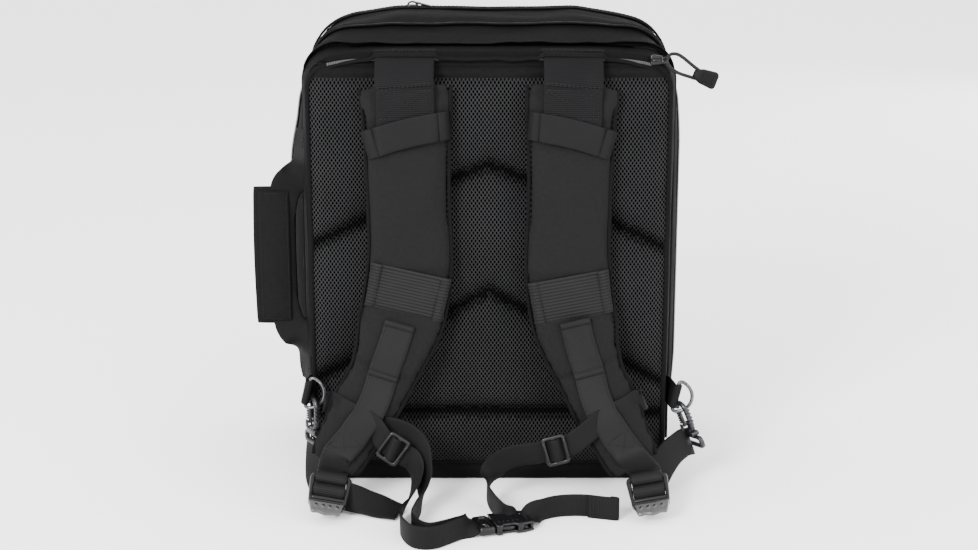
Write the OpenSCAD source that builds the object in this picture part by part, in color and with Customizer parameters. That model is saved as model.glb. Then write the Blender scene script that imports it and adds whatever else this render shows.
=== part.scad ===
// Trauma backpack: clamshell body, padded mesh back panel and shoulder harness.
// Origin at the centre of the flat base, +Z up. The harness is on the -Y side.
// Left and right are -X and +X, as seen when facing the harness.

/* [Body] */
// Greatest width of the body, across the front pocket
body_w = 342; // [336:2:350]
// Height of the body above its base
body_h = 405; // [403:1:410]
// Thickness of the padded fabric walls
wall_t = 5; // [4:0.5:6]
// Thickness of the padded mesh back panel
panel_t = 9; // [7:1:9]

/* [Harness] */
// Width of the yoke webbing above each shoulder pad
yoke_w = 50; // [44:1:50]
// Thickness of a shoulder pad
pad_t = 12; // [10:1:12]
// Width of the webbing sewn down each shoulder pad
load_w = 30; // [25:1:30]
// Width of the adjuster webbing below each ladder lock
adjuster_w = 25; // [20:1:25]
// Width of the sternum strap webbing
sternum_w = 20; // [18:1:20]
// Thickness of all webbing
web_t = 1.8; // [1.4:0.2:1.8]

/* [Handle] */
// Length of the hook-and-loop wrap of the side handle
wrap_len = 124; // [100:2:124]
// Depth of the wrap across the hand
wrap_w = 34; // [28:1:34]

/* [Hardware] */
// Radius of the wire of the D-rings
ring_wire_r = 1.5; // [1.3:0.1:1.6]
// Outer width of a ladder lock
lock_w = 36; // [34:1:36]
// Outer width of the side-release buckle
buckle_w = 28; // [27:1:30]

/* [Hidden] */
$fn = 48;
hull_fn = 32;
plate_t = 0.02;
half_w = body_w / 2;

// Colours
cloth = [0.10, 0.10, 0.11];
mesh_cloth = [0.16, 0.16, 0.17];
webbing = [0.13, 0.13, 0.14];
plastic = [0.20, 0.20, 0.21];
metal = [0.30, 0.30, 0.32];

// Seams between the three shells
main_seam_y = -10;
front_seam_y = 52;
seam_gap = 2;

// Drain grommet in the base
drain_at = [70, -46];
drain_r = 6;

// Stations of each shell: y, width inset, top drop, bottom lift, top radius
rear_stations = [
    [-84, 18, 24, 12, 22],
    [-60, 13, 15, 0, 35],
    [main_seam_y - seam_gap, 7, 5, 0, 42]
];
mid_stations = [
    [main_seam_y + seam_gap, 6.5, 4.5, 0, 42],
    [30, 1, 0.5, 0, 45],
    [front_seam_y - seam_gap, 0, 0, 0, 45]
];
front_stations = [
    [front_seam_y + seam_gap, 0, 0, 0, 45],
    [80, 1.5, 2, 0, 45],
    [95, 11, 10, 8, 40]
];
base_r = 25;
panel_back_y = -88;
panel_front_y = panel_back_y - panel_t;
panel_stations = [
    [panel_front_y, 21, 33, 22, 14],
    [panel_back_y, 18, 31, 18, 18]
];

// Top edge of the back panel and the pocket zipper over it
zip_z = body_h - 26;
zip_half_len = 138;
zip_front_y = -90;
slider_x = 141;

// Centre line of the right shoulder pad, from the top down, and its widths
pad_points = [
    [70, -106, 361],
    [69, -107.5, 314],
    [67, -108.5, 266],
    [67, -109.5, 209],
    [71, -111.5, 162],
    [78, -116, 136],
    [93, -123.5, 106],
    [108, -133.5, 76],
    [120, -141.5, 54],
    [128, -147, 40]
];
pad_widths = [75, 72, 71, 72, 71, 66, 58, 54, 51, 44];
load_points = [
    [74, -113.8, 149],
    [78, -116, 136],
    [93, -123.5, 106],
    [108, -133.5, 76],
    [120, -141.5, 54],
    [128, -147, 40]
];
yoke_points = [
    [71, -88.5, body_h - 19],
    [71, -98, body_h - 24],
    [71, -109, 370],
    [70.5, -114, 361],
    [70, -115, 346],
    [70, -115.5, 328]
];
pad_skin = pad_t / 2;
keeper_lift = 5;

// Ladder locks: middle of the upper bar, dip, swing and roll
lock_at = [135, -159, 28];
lock_dip = 36;
lock_swing = 7;
lock_roll = 13;
lock_len = 42;

// Sternum hardware on each side
glide_left_at = [-82, -153.5, 54];
glide_right_at = [57, -154, 53];
sternum_left_upper = [
    [-131, -146, 86],
    [-112, -151.5, 75],
    [-95, -152.5, 63],
    [-82, -151.5, 54],
    [-69, -152, 45],
    [-58, -160, 32],
    [-56, -178, 18],
    [-60, -190, 11]
];
sternum_left_lower = [
    [-64, -196, 10.2],
    [-74, -210, 10.2],
    [-76, -226, 10.2],
    [-64, -240, 10.2],
    [-48, -238, 10.2],
    [-36, -226, 10.2],
    [-26, -217, 10.2],
    [-20, -213.5, 10.2]
];
sternum_return = [
    [-95, -124, 64],
    [-76, -129, 56],
    [-58, -141, 38],
    [-46, -152, 20],
    [-45, -168, 11],
    [-48, -184, 10.2]
];
sternum_right_upper = [
    [132, -147.5, 82],
    [112, -152, 73],
    [88, -152.5, 64],
    [70, -152, 58],
    [57, -151.5, 53],
    [36, -150, 50],
    [18, -145, 42],
    [5, -136, 26],
    [1, -127, 10]
];
sternum_right_lower = [
    [0, -122, 3],
    [-2, -136, 1.4],
    [0, -156, 1.4],
    [4, -174, 1.4],
    [8, -183, 1.4]
];
sternum_tail = [
    [36, -193, 10.2],
    [48, -182, 10.2],
    [62, -175, 10.2],
    [80, -174, 10.2],
    [98, -178.6, 10.2],
    [107.5, -180.6, 10.2]
];

// Side-release buckle: middle of the socket, on the floor
buckle_at = [14, -201, 5.2];
buckle_turn = 18;
buckle_t = 9;
socket_len = 24;

// D-rings and their tabs
ring_r = 13;
ring_lean = 13;
ring_left_at = [-half_w + 12, -102, 87];
ring_left_turn = -4;
ring_right_at = [half_w - 6, -91, 80];
ring_right_turn = -8;

tab_left_points = [[0.3, 24, 0], [-2.5, 14, 0], [-3.4, 5, 0], [-3.6, -3, 0]];
tab_right_points = [[-4.6, 13, 0], [-3.4, 7, 0], [-2.9, 1, 0], [-2.7, -4, 0]];

// Snap hooks: middle of the hole, turn about Z and lean
hook_r = 7;
hook_wire_r = 2.2;
hook_left_at = [-half_w + 16.5, -103, 74.5];
hook_left_turn = -60;
hook_left_lean = 0;
hook_right_at = [half_w + 0.2, -92, 67];
hook_right_turn = -65;
hook_right_lean = -22;
gate_len = 13;
gate_pin_r = 0.9;
gate_bore_r = 0.97;

adjuster_left_points = [
    [-154.5, -103, 35],
    [-154, -105, 28],
    [-150, -116, 16],
    [-144, -133, 8.5],
    [-138, -151, 9.5],
    [-135.5, -160, 17]
];
adjuster_tail_points = [
    [-112, -161, 12.2],
    [-100, -154, 12.2],
    [-86, -149, 12.2],
    [-72, -148, 12.2]
];
adjuster_right_points = [
    [174.5, -99.5, 40],
    [170, -103, 39],
    [159, -115, 34],
    [148, -130, 24],
    [139, -147, 14],
    [136, -157, 14]
];

// Side handle
handle_axis = [-half_w + 3, -58];
handle_mid_z = 200;
handle_reach = 20;
handle_t = 7;
handle_web_w = 16;
handle_core = [
    [-9.5, 104],
    [-10.5, 90],
    [-17, 74],
    [-handle_reach, 56],
    [-handle_reach, -56],
    [-17, -74],
    [-10.5, -92],
    [-9.5, -106]
];

// Zipper pull: cord loop from the slider through the moulded grip and back
cord_r = 1.5;
pull_points = [
    [149, -98, 380],
    [152, -99, 384],
    [157, -100.5, 384.5],
    [162, -101.5, 382],
    [167, -102, 378],
    [172, -102.5, 374],
    [177, -103, 370.5],
    [180.5, -103, 368.5],
    [182, -103, 366],
    [180.5, -103, 363.5],
    [177, -103, 363.5],
    [172, -102.5, 364.5],
    [167, -102, 366],
    [162, -101.5, 367.5],
    [157, -100.5, 369.5],
    [152, -99.5, 373],
    [149, -98.5, 377]
];

// Slider bodies
slider_len = 12;
slider_w = 9;
slider_t = 4;

// ---------- Functions ----------

function unit(v) = v / norm(v);

// A smooth curve through the points of p, with n steps between neighbours
function curve_at(p, i, f) =
    let (
        a = p[max(i - 1, 0)],
        b = p[i],
        c = p[i + 1],
        d = p[min(i + 2, len(p) - 1)]
    )
    (2 * b + (c - a) * f + (2 * a - 5 * b + 4 * c - d) * f * f
        + (3 * b - a - 3 * c + d) * f * f * f) / 2;
function curve(p, n) = [
    for (i = [0 : len(p) - 2], k = [0 : n - 1]) curve_at(p, i, k / n),
    p[len(p) - 1]
];

// Direction of travel, direction across and direction out at point i of a path
function along(p, i) = unit(p[min(i + 1, len(p) - 1)] - p[max(i - 1, 0)]);
function across(p, i, hint) =
    let (t = along(p, i)) unit(hint - (hint * t) * t);
function outward(p, i, hint) = cross(along(p, i), across(p, i, hint));

// The path p moved outward by d
function lifted(p, hint, d) = [
    for (i = [0 : len(p) - 1]) p[i] + d * outward(p, i, hint)
];

// Strap section at point i: a w by t rectangle with corners cut by c
function section(p, i, hint, w, t, c) =
    let (
        s = across(p, i, hint),
        n = outward(p, i, hint),
        outline = c > 0
            ? [[w / 2, t / 2 - c], [w / 2 - c, t / 2], [c - w / 2, t / 2],
               [-w / 2, t / 2 - c], [-w / 2, c - t / 2], [c - w / 2, -t / 2],
               [w / 2 - c, -t / 2], [w / 2, c - t / 2]]
            : [[w / 2, t / 2], [-w / 2, t / 2], [-w / 2, -t / 2], [w / 2, -t / 2]]
    )
    [for (q = outline) p[i] + q[0] * s + q[1] * n];

// Round section at point i of a cord
function ring_section(p, i, hint, r) = [
    for (a = [0 : 45 : 315])
        p[i] + r * cos(a) * across(p, i, hint) + r * sin(a) * outward(p, i, hint)
];

// Half outline of the body, open at the base: up the left, over and down
function arch(hw, z0, top, r) = concat(
    [[-hw, z0]],
    [for (a = [180 : -15 : 90]) [r - hw + r * cos(a), top - r + r * sin(a)]],
    [for (a = [90 : -15 : 0]) [hw - r + r * cos(a), top - r + r * sin(a)]],
    [[hw, z0]]
);
function standing(path, y) = [for (p = path) [p[0], y, p[1]]];

// A shell's stations moved inside it, through its mouth at +Y or -Y
function cavity(st, mouth) =
    let (last = len(st) - 1)
    [for (i = [0 : last])
        let (
            first_move = mouth > 0 ? wall_t : -1,
            last_move = mouth > 0 ? 1 : -wall_t,
            dy = i == 0 ? first_move : (i == last ? last_move : 0)
        )
        [st[i][0] + dy, st[i][1], st[i][2], st[i][3], st[i][4]]];

// ---------- Shared shapes ----------

// A closed solid through rings of points
module sweep(rings) {
    m = len(rings[0]);
    last = (len(rings) - 1) * m;
    sides = [
        for (i = [0 : len(rings) - 2], k = [0 : m - 1])
            let (a = i * m + k, b = i * m + (k + 1) % m)
            each [[a + m, b + m, b], [a + m, b, a]]
    ];
    ends = [[for (k = [0 : m - 1]) k], [for (k = [m - 1 : -1 : 0]) last + k]];
    polyhedron([for (r = rings) each r], concat(sides, ends));
}

// Webbing of width w and thickness t along p, with its width near the hint
module strap(p, w, t, hint) {
    sweep([for (i = [0 : len(p) - 1]) section(p, i, hint, w, t, 0)]);
}

// Webbing that twists from one width direction to another
module twisted_strap(p, w, t, hint_a, hint_b) {
    last = len(p) - 1;
    sweep([
        for (i = [0 : last])
            section(p, i, hint_a + (hint_b - hint_a) * i / last, w, t, 0)
    ]);
}

// A thin upright plate of the body's outline at one station
module plate(st, shrink) {
    hw = half_w - st[1] - shrink;
    top = body_h - st[2] - shrink;
    bottom = st[3] + shrink;
    translate([0, st[0], 0])
        rotate([90, 0, 0])
            linear_extrude(plate_t, center = true)
                for (s = [-1, 1]) {
                    translate([s * (hw - st[4]), top - st[4]])
                        circle(st[4], $fn = hull_fn);
                    translate([s * (hw - base_r), bottom + base_r])
                        circle(base_r, $fn = hull_fn);
                }
}
module loft(stations, shrink) {
    hull()
        for (st = stations)
            plate(st, shrink);
}
module tub(stations, mouth) {
    difference() {
        loft(stations, 0);
        loft(cavity(stations, mouth), wall_t);
    }
}

// One zipper tape along the arch of a seam
module tape(y, inset, drop, r) {
    path = standing(arch(half_w - inset - 1.5, 30, body_h - drop - 1.5, r), y);
    strap(path, 1.6, 3, [0, 1, 0]);
}

// A zipper slider with its short pull, on a seam that faces +Z
module slider() {
    translate([-slider_len / 2, -slider_w / 2, 0])
        cube([slider_len, slider_w, slider_t]);
    translate([0, 0, slider_t])
        rotate([90, 0, 0])
            cylinder(h = 3, r = 2.5, center = true);
}
module side_slider(z) {
    translate([-half_w + 4.2, main_seam_y, z])
        rotate([0, -90, 0])
            slider();
}

// ---------- Body: rear half ----------

module rear_shell() {
    color(cloth)
        difference() {
            tub(rear_stations, 1);
            translate([drain_at[0], drain_at[1], -1])
                cylinder(h = wall_t + 2, r = drain_r + 0.1);
        }
}
module back_panel() {
    color(mesh_cloth) loft(panel_stations, 0);
}
module frame_sheet() {
    color("dimgray")
        translate([-140, -87.2, 32])
            cube([280, 1.6, body_h - 75]);
}
module base_board() {
    color("dimgray")
        translate([-135, -56, wall_t + 1.6])
            cube([270, 38, 2]);
}
module drain_grommet() {
    // Barrel through the base with its flange on the inside
    color(metal)
        translate([drain_at[0], drain_at[1], 0])
            difference() {
                union() {
                    translate([0, 0, 0.2])
                        cylinder(h = wall_t, r = drain_r);
                    translate([0, 0, wall_t])
                        cylinder(h = 0.8, r = drain_r + 2.5);
                }
                translate([0, 0, -1])
                    cylinder(h = wall_t + 3, r = drain_r - 2.5);
            }
}
module rear_piping() {
    path = standing(arch(half_w - 11.3, 30, body_h - 13.3, 36), -60);
    color(webbing)
        sweep([
            for (i = [0 : len(path) - 1]) ring_section(path, i, [0, 1, 0], 1.2)
        ]);
}
module main_zipper_rear_tape() {
    color(plastic) tape(main_seam_y - 1, 7, 5, 42);
}
module rear_pocket_zipper() {
    color(plastic) {
        translate([-zip_half_len, -88.6, zip_z - 4])
            cube([2 * zip_half_len, 3.6, 8]);
        translate([-zip_half_len, -89, zip_z])
            rotate([0, 90, 0])
                cylinder(h = 2 * zip_half_len, r = 1.2);
    }
}
module elastic_loops() {
    // Three rows of elastic loops, flat on the inner wall while empty
    color(webbing)
        for (z = [110, 200, 290])
            translate([-120, -78.6, z])
                cube([240, 2, 30]);
}
module main_hinge_strip() {
    color(cloth)
        translate([-130, -34, wall_t + 0.2])
            cube([260, 42, 1]);
}

// ---------- Harness ----------

module yoke_webbing() {
    color(webbing)
        strap(curve(yoke_points, 4), yoke_w, web_t, [1, 0, 0]);
}
module shoulder_pad() {
    path = curve(pad_points, 4);
    widths = curve(pad_widths, 4);
    color(cloth)
        sweep([
            for (i = [0 : len(path) - 1])
                section(path, i, [1, 0, 0], widths[i], pad_t, 3)
        ]);
}
module keeper(x, y, z, half, w, tilt) {
    // A band over the front of a pad, turned down at both edges
    rise = tilt / half;
    path = [
        for (q = [[-1.05, 5], [-1.05, 0], [-0.98, -4.2], [0, -keeper_lift],
                  [0.98, -4.2], [1.05, 0], [1.05, 5]])
            [x + q[0] * half, y + q[1], z + q[0] * half * rise]
    ];
    color(webbing) strap(path, w, web_t, [0, 0, 1]);
}
module upper_keeper() {
    keeper(69, -113.6, 318, 37, 25, -5);
}
module wide_keeper(z) {
    keeper(69.5, -116.2, z, 37, 39, 2.5);
}
module load_webbing() {
    color(webbing)
        strap(lifted(curve(load_points, 4), [1, 0, 0], pad_skin + 3.3),
              load_w, web_t, [1, 0, 0]);
}
module sternum_strap_left_upper() {
    color(webbing) {
        strap(curve(sternum_left_upper, 4), sternum_w, 1.4, [0.2, 0, 1]);
        strap(curve(sternum_return, 4), sternum_w, 1.4, [0, 0, 1]);
    }
}
module sternum_strap_left_lower() {
    color(webbing)
        strap(curve(sternum_left_lower, 4), sternum_w, web_t, [0, 0, 1]);
}
module sternum_strap_right() {
    color(webbing) {
        strap(curve(sternum_right_upper, 4), sternum_w, 1.4, [-0.2, 0, 1]);
        strap(curve(sternum_right_lower, 4), sternum_w, 1.4, [1, 0, 0]);
    }
}
module sternum_tail() {
    color(webbing) {
        strap(curve(sternum_tail, 4), sternum_w, web_t, [0, 0, 1]);
        translate([105.5, -182.2, 0.2])
            cube([10, 4, sternum_w]);
    }
}
module tri_glide(at, turn) {
    // Frame with a middle bar, in front of the strap that it slides on
    frame_w = sternum_w + 6;
    color(plastic)
        translate(at)
            rotate([0, turn, 0])
                rotate([90, 0, 0])
                    difference() {
                        translate([-10, -frame_w / 2, 0])
                            cube([20, frame_w, 3]);
                        for (s = [-1, 1])
                            translate([s * 4.8 - 2.4, -sternum_w / 2, -1])
                                cube([4.8, sternum_w, 5]);
                    }
}
module buckle_socket() {
    color(plastic)
        translate(buckle_at)
            rotate([0, 0, buckle_turn])
                difference() {
                    union() {
                        translate([-socket_len / 2, -buckle_w / 2, -buckle_t / 2])
                            cube([socket_len, buckle_w, buckle_t]);
                        translate([socket_len / 2, -12, -3])
                            cube([9, 24, 6]);
                    }
                    translate([-socket_len / 2 - 1, -buckle_w / 2 + 2.5, -3])
                        cube([socket_len - 2, buckle_w - 5, 6]);
                    translate([socket_len / 2 + 2, -10.2, -4])
                        cube([4, 20.4, 8]);
                    for (s = [-1, 1])
                        translate([-4, s * buckle_w / 2 - 3, -2.6])
                            cube([9, 6, 5.2]);
                }
}
module buckle_plug() {
    prong_y = buckle_w / 2 - 3;
    color(plastic)
        translate(buckle_at)
            rotate([0, 0, buckle_turn])
                translate([-socket_len / 2, 0, 0])
                    difference() {
                        union() {
                            translate([-15, -buckle_w / 2, -buckle_t / 2])
                                cube([14.6, buckle_w, buckle_t]);
                            translate([-1, -2, -2])
                                cube([19, 4, 4]);
                            for (s = [-1, 1])
                                translate([-1, s * (prong_y - 2) - 2, -2.2])
                                    cube([18, 4, 4.4]);
                        }
                        translate([-9, -10.2, -6])
                            cube([5, 20.4, 12]);
                    }
}
module ladder_lock() {
    // Upper bar on the X axis; the frame runs down -Y to the thumb tab
    arm = 4.5;
    inner = lock_w - 2 * arm;
    color(plastic)
        translate(lock_at)
            rotate([0, 0, lock_swing])
                rotate([lock_dip, 0, 0])
                    rotate([0, -lock_roll, 0]) {
                        for (s = [-1, 1])
                            translate([s * (lock_w - arm) / 2 - arm / 2, -30, -2.5])
                                cube([arm, 32, 5]);
                        for (y = [0, -11, -20])
                            translate([-inner / 2 - 0.5, y, 0])
                                rotate([0, 90, 0])
                                    cylinder(h = inner + 1, r = 1.9);
                        translate([-lock_w / 2 + 2, -lock_len + 4, -2])
                            cube([lock_w - 4, lock_len - 32, 4]);
                        translate([-lock_w / 2 + 5, -lock_len + 2, -1.5])
                            cube([lock_w - 10, 4, 3]);
                    }
}
module adjuster_webbing_left() {
    color(webbing) {
        twisted_strap(curve(adjuster_left_points, 4), adjuster_w, web_t,
                      [0.5, -0.866, 0], [1, 0, 0]);
        strap(curve(adjuster_tail_points, 4), adjuster_w - 1, web_t, [0, 0.3, 1]);
    }
}
module adjuster_webbing_right() {
    color(webbing)
        twisted_strap(curve(adjuster_right_points, 4), adjuster_w, web_t,
                      [-0.42, 0.2, 0.9], [-1, 0, 0]);
}

// ---------- Rings, hooks and tabs ----------

module d_ring(at, turn) {
    color(metal)
        hook_frame(at, turn, ring_lean) {
            rotate([90, 0, 0])
                rotate([0, 0, -90])
                    rotate_extrude(angle = 180)
                        translate([ring_r, 0])
                            circle(ring_wire_r);
            cylinder(h = 2 * ring_r, r = ring_wire_r, center = true);
            for (s = [-1, 1])
                translate([0, 0, s * ring_r])
                    sphere(ring_wire_r);
        }
}
module d_ring_tab(at, path) {
    // Webbing beside the straight bar of a ring, leaning with it
    color(webbing)
        hook_frame(at, 0, ring_lean)
            strap(path, 22, web_t, [0, 0, 1]);
}
module hook_frame(at, turn, lean) {
    translate(at)
        rotate([0, lean, 0])
            rotate([0, 0, turn])
                children();
}
module snap_hook(at, turn, lean) {
    color(metal)
        hook_frame(at, turn, lean) {
            rotate([90, 0, 0])
                rotate_extrude(angle = 180)
                    translate([hook_r, 0])
                        circle(hook_wire_r);
            translate([hook_r, 0, -20])
                cylinder(h = 20, r = hook_wire_r);
            translate([-hook_r, 0, -2])
                cylinder(h = 2, r = hook_wire_r);
            // Gate lugs and pin
            for (s = [-1, 1])
                translate([-hook_r - 2, s * 3.3 - 0.9, -21])
                    cube([4, 1.8, 6.5]);
            translate([-hook_r, 0, -gate_len - 3])
                rotate([90, 0, 0])
                    cylinder(h = 6, r = gate_pin_r, center = true);
            translate([-9.5, -4.2, -25])
                cube([19, 8.4, 5]);
            // Slot for the adjuster webbing
            difference() {
                translate([-15.5, -2.5, -36])
                    cube([31, 5, 11.5]);
                translate([-12.8, -4, -33])
                    cube([25.6, 8, 5]);
            }
        }
}
module snap_gate(at, turn, lean) {
    color(plastic)
        hook_frame(at, turn, lean)
            translate([-hook_r, 0, -gate_len - 3])
                difference() {
                    union() {
                        rotate([90, 0, 0])
                            cylinder(h = 4.2, r = 2, center = true);
                        cylinder(h = gate_len, r = 1.7);
                        for (k = [0 : 3])
                            translate([-3.4, -2.4, 3 + k * 2])
                                cube([2.4, 4.8, 1.2]);
                        translate([-2.4, -2.4, 3])
                            cube([1.4, 4.8, 7.2]);
                    }
                    rotate([90, 0, 0])
                        cylinder(h = 8, r = gate_bore_r, center = true);
                }
}

// ---------- Side handle ----------

module handle_anchors() {
    color(webbing)
        for (z = [handle_mid_z + 104, handle_mid_z - 106])
            translate([-half_w + 4, -70, z - 9])
                cube([6, 24, 18]);
}
module handle_webbing() {
    path = [
        for (q = handle_core) [handle_axis[0] + q[0], handle_axis[1], handle_mid_z + q[1]]
    ];
    color(webbing) strap(curve(path, 3), handle_web_w, 2.4, [-1, 0, 0]);
}
module handle_wrap() {
    // Two stacked faces of the hook-and-loop wrap with rounded long edges
    color(cloth)
        translate([handle_axis[0] - handle_reach, handle_axis[1], handle_mid_z - wrap_len / 2]) {
            translate([-wrap_w / 2, -handle_t / 2, 0])
                cube([wrap_w - 3, handle_t, wrap_len]);
            translate([wrap_w / 2 - 3.5, 0, 0])
                cylinder(h = wrap_len, r = handle_t / 2);
        }
}

// ---------- Sliders and pull ----------

module rear_pocket_slider() {
    color(metal) {
        translate([slider_x - 6, zip_front_y - 5.2, zip_z - 4.5])
            cube([slider_len, 4.4, slider_w]);
        translate([slider_x + 4, zip_front_y - 3, zip_z])
            cube([3.5, 1.6, 5]);
    }
}
module pull_cord() {
    path = curve(pull_points, 2);
    color(webbing)
        sweep([
            for (i = [0 : len(path) - 1]) ring_section(path, i, [0, 1, 0], cord_r)
        ]);
}
module pull_grip() {
    // Moulded grip over the bight of the cord
    color(plastic)
        translate([174.5, -103, 367.5])
            rotate([0, 20, 0]) {
                translate([0, -4.5, -7])
                    cube([11, 9, 14]);
                translate([11, 0, 0])
                    rotate([90, 0, 0])
                        cylinder(h = 9, r = 7, center = true);
            }
}
module main_slider_upper() {
    color(metal) side_slider(222);
}
module main_slider_lower() {
    color(metal) side_slider(196);
}
module front_slider() {
    color(metal)
        translate([-70, front_seam_y, body_h + 0.4])
            slider();
}

// ---------- Main cover ----------

module mid_shell() {
    color(cloth) tub(mid_stations, -1);
}
module main_zipper_front_tape() {
    color(plastic) tape(main_seam_y + 1, 6.5, 4.5, 42);
}
module front_zipper_rear_tape() {
    color(plastic) tape(front_seam_y - 1, 0, 0, 45);
}
module organizer_panel() {
    color("slategray")
        translate([-150, 41.5, 18])
            cube([300, 3, body_h - 40]);
}
module window_pouches() {
    color([0.75, 0.78, 0.80])
        for (z = [30, 146, 262], x = [-140, 5])
            translate([x, 38, z])
                cube([135, 3, 100]);
}
module front_hinge_strip() {
    color(cloth)
        translate([-130, front_seam_y - 1.6, wall_t + 0.2])
            cube([260, 16, 1]);
}

// ---------- Front pocket ----------

module front_shell() {
    color(cloth) tub(front_stations, -1);
}
module front_zipper_front_tape() {
    color(plastic) tape(front_seam_y + 1, 0, 0, 45);
}
module molle_webbing() {
    color(webbing)
        for (z = [70, 120, 170, 220])
            translate([-115, 95.3, z])
                cube([230, 2, 25]);
}
module loop_field() {
    color(mesh_cloth)
        translate([-75, 95.3, 278])
            cube([150, 2.2, 75]);
}

// ---------- Assembly ----------

rear_shell();
back_panel();
frame_sheet();
base_board();
drain_grommet();
rear_piping();
main_zipper_rear_tape();
rear_pocket_zipper();
elastic_loops();
main_hinge_strip();
mirror([1, 0, 0]) yoke_webbing();  // yoke_webbing_left
yoke_webbing();  // yoke_webbing_right
mirror([1, 0, 0]) shoulder_pad();  // shoulder_pad_left
shoulder_pad();  // shoulder_pad_right
mirror([1, 0, 0]) upper_keeper();  // upper_keeper_left
upper_keeper();  // upper_keeper_right
mirror([1, 0, 0]) wide_keeper(180);  // wide_keeper_left
wide_keeper(173);  // wide_keeper_right
mirror([1, 0, 0]) load_webbing();  // load_webbing_left
load_webbing();  // load_webbing_right
sternum_strap_left_upper();
sternum_strap_left_lower();
sternum_strap_right();
sternum_tail();
tri_glide(glide_left_at, 35);  // tri_glide_left
tri_glide(glide_right_at, -15);  // tri_glide_right
buckle_socket();
buckle_plug();
mirror([1, 0, 0]) ladder_lock();  // ladder_lock_left
ladder_lock();  // ladder_lock_right
adjuster_webbing_left();
adjuster_webbing_right();
d_ring_tab(ring_left_at, tab_left_points);  // d_ring_tab_left
d_ring_tab(ring_right_at, tab_right_points);  // d_ring_tab_right
d_ring(ring_left_at, ring_left_turn);  // d_ring_left
d_ring(ring_right_at, ring_right_turn);  // d_ring_right
snap_hook(hook_left_at, hook_left_turn, hook_left_lean);  // snap_hook_left
snap_hook(hook_right_at, hook_right_turn, hook_right_lean);  // snap_hook_right
snap_gate(hook_left_at, hook_left_turn, hook_left_lean);  // snap_gate_left
snap_gate(hook_right_at, hook_right_turn, hook_right_lean);  // snap_gate_right
handle_anchors();
handle_webbing();
handle_wrap();
rear_pocket_slider();
pull_cord();
pull_grip();
main_slider_upper();
main_slider_lower();
mid_shell();
main_zipper_front_tape();
front_zipper_rear_tape();
organizer_panel();
window_pouches();
front_hinge_strip();
front_slider();
front_shell();
front_zipper_front_tape();
molle_webbing();
loop_field();
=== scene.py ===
"""Looks of a trauma backpack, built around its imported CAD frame. Blender 4.5, metres."""
import math

import bmesh
import bpy
from mathutils import Matrix, Vector, noise
from mathutils.bvhtree import BVHTree


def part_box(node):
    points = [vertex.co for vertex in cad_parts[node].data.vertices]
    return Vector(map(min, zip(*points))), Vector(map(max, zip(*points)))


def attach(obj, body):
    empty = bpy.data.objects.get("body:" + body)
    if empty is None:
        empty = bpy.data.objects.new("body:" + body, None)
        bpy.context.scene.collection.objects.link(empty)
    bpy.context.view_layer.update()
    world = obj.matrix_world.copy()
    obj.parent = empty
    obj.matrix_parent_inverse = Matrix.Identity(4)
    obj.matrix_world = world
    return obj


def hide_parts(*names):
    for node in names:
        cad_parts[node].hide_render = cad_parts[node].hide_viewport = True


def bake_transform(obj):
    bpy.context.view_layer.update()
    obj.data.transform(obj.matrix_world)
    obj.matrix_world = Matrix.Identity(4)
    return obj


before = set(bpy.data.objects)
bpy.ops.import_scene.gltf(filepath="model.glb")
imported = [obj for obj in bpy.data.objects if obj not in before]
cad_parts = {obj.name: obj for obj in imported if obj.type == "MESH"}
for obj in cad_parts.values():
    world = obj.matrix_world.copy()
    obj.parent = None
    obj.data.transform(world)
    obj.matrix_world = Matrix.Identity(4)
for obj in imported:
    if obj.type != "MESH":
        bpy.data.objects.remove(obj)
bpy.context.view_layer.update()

MM = 0.001
X, Y, Z = Vector((1, 0, 0)), Vector((0, 1, 0)), Vector((0, 0, 1))


def mm(*values):
    """A point given in millimetres."""
    return Vector(values) * MM


def points(rows):
    """Points given as rows of millimetres."""
    return [mm(*row) for row in rows]


# ---------------------------------------------------------------- camera, floor, lights

CAMERA_LENS, CAMERA_DISTANCE, CAMERA_AIM_HEIGHT = 67.1, 1.58, 191.7 * MM
CAMERA_ELEVATION = math.radians(15)
LIGHTS = (("key", (-1.3, -2.3, 1.5), 0.9, 165), ("fill", (1.9, -1.5, 0.8), 1.0, 38),
          ("back", (1.6, 1.8, 0.5), 1.0, 22))
LIGHT_TARGET = Vector((0, 0, 0.2))
SKY_STRENGTH, FLOOR_SIZE, FLOOR_TONE = 3.0, 14, 0.94


def make_camera():
    data = bpy.data.cameras.new("camera")
    data.sensor_width = 36
    data.lens = CAMERA_LENS
    camera = bpy.data.objects.new("camera", data)
    bpy.context.scene.collection.objects.link(camera)
    target = Vector((0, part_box("back_panel")[0].y + 2 * MM, CAMERA_AIM_HEIGHT))
    away = Vector((0, -math.cos(CAMERA_ELEVATION), math.sin(CAMERA_ELEVATION)))
    camera.location = target + CAMERA_DISTANCE * away
    camera.rotation_euler = (math.pi / 2 - CAMERA_ELEVATION, 0, 0)
    bpy.context.scene.camera = camera


def make_light(name, place, size, power):
    data = bpy.data.lights.new(name, "AREA")
    data.shape = "SQUARE"
    data.size = size
    data.energy = power
    light = bpy.data.objects.new(name, data)
    bpy.context.scene.collection.objects.link(light)
    light.location = place
    light.rotation_euler = (LIGHT_TARGET - Vector(place)).to_track_quat("-Z", "Y").to_euler()


def make_studio():
    """An even white sky, three soft lights and a plain pale floor."""
    world = bpy.data.worlds.new("studio")
    bpy.context.scene.world = world
    world.use_nodes = True
    background = world.node_tree.nodes["Background"]
    background.inputs["Color"].default_value = (1, 1, 1, 1)
    background.inputs["Strength"].default_value = SKY_STRENGTH
    for name, place, size, power in LIGHTS:
        make_light(name, place, size, power)
    bpy.ops.mesh.primitive_plane_add(size=FLOOR_SIZE)
    floor = bpy.context.object
    floor.name = "floor"
    graph = Graph("studio_floor")
    graph.finish(color=(FLOOR_TONE,) * 3, roughness=0.95, specular=0.1)
    floor.data.materials.append(graph.material)


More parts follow.
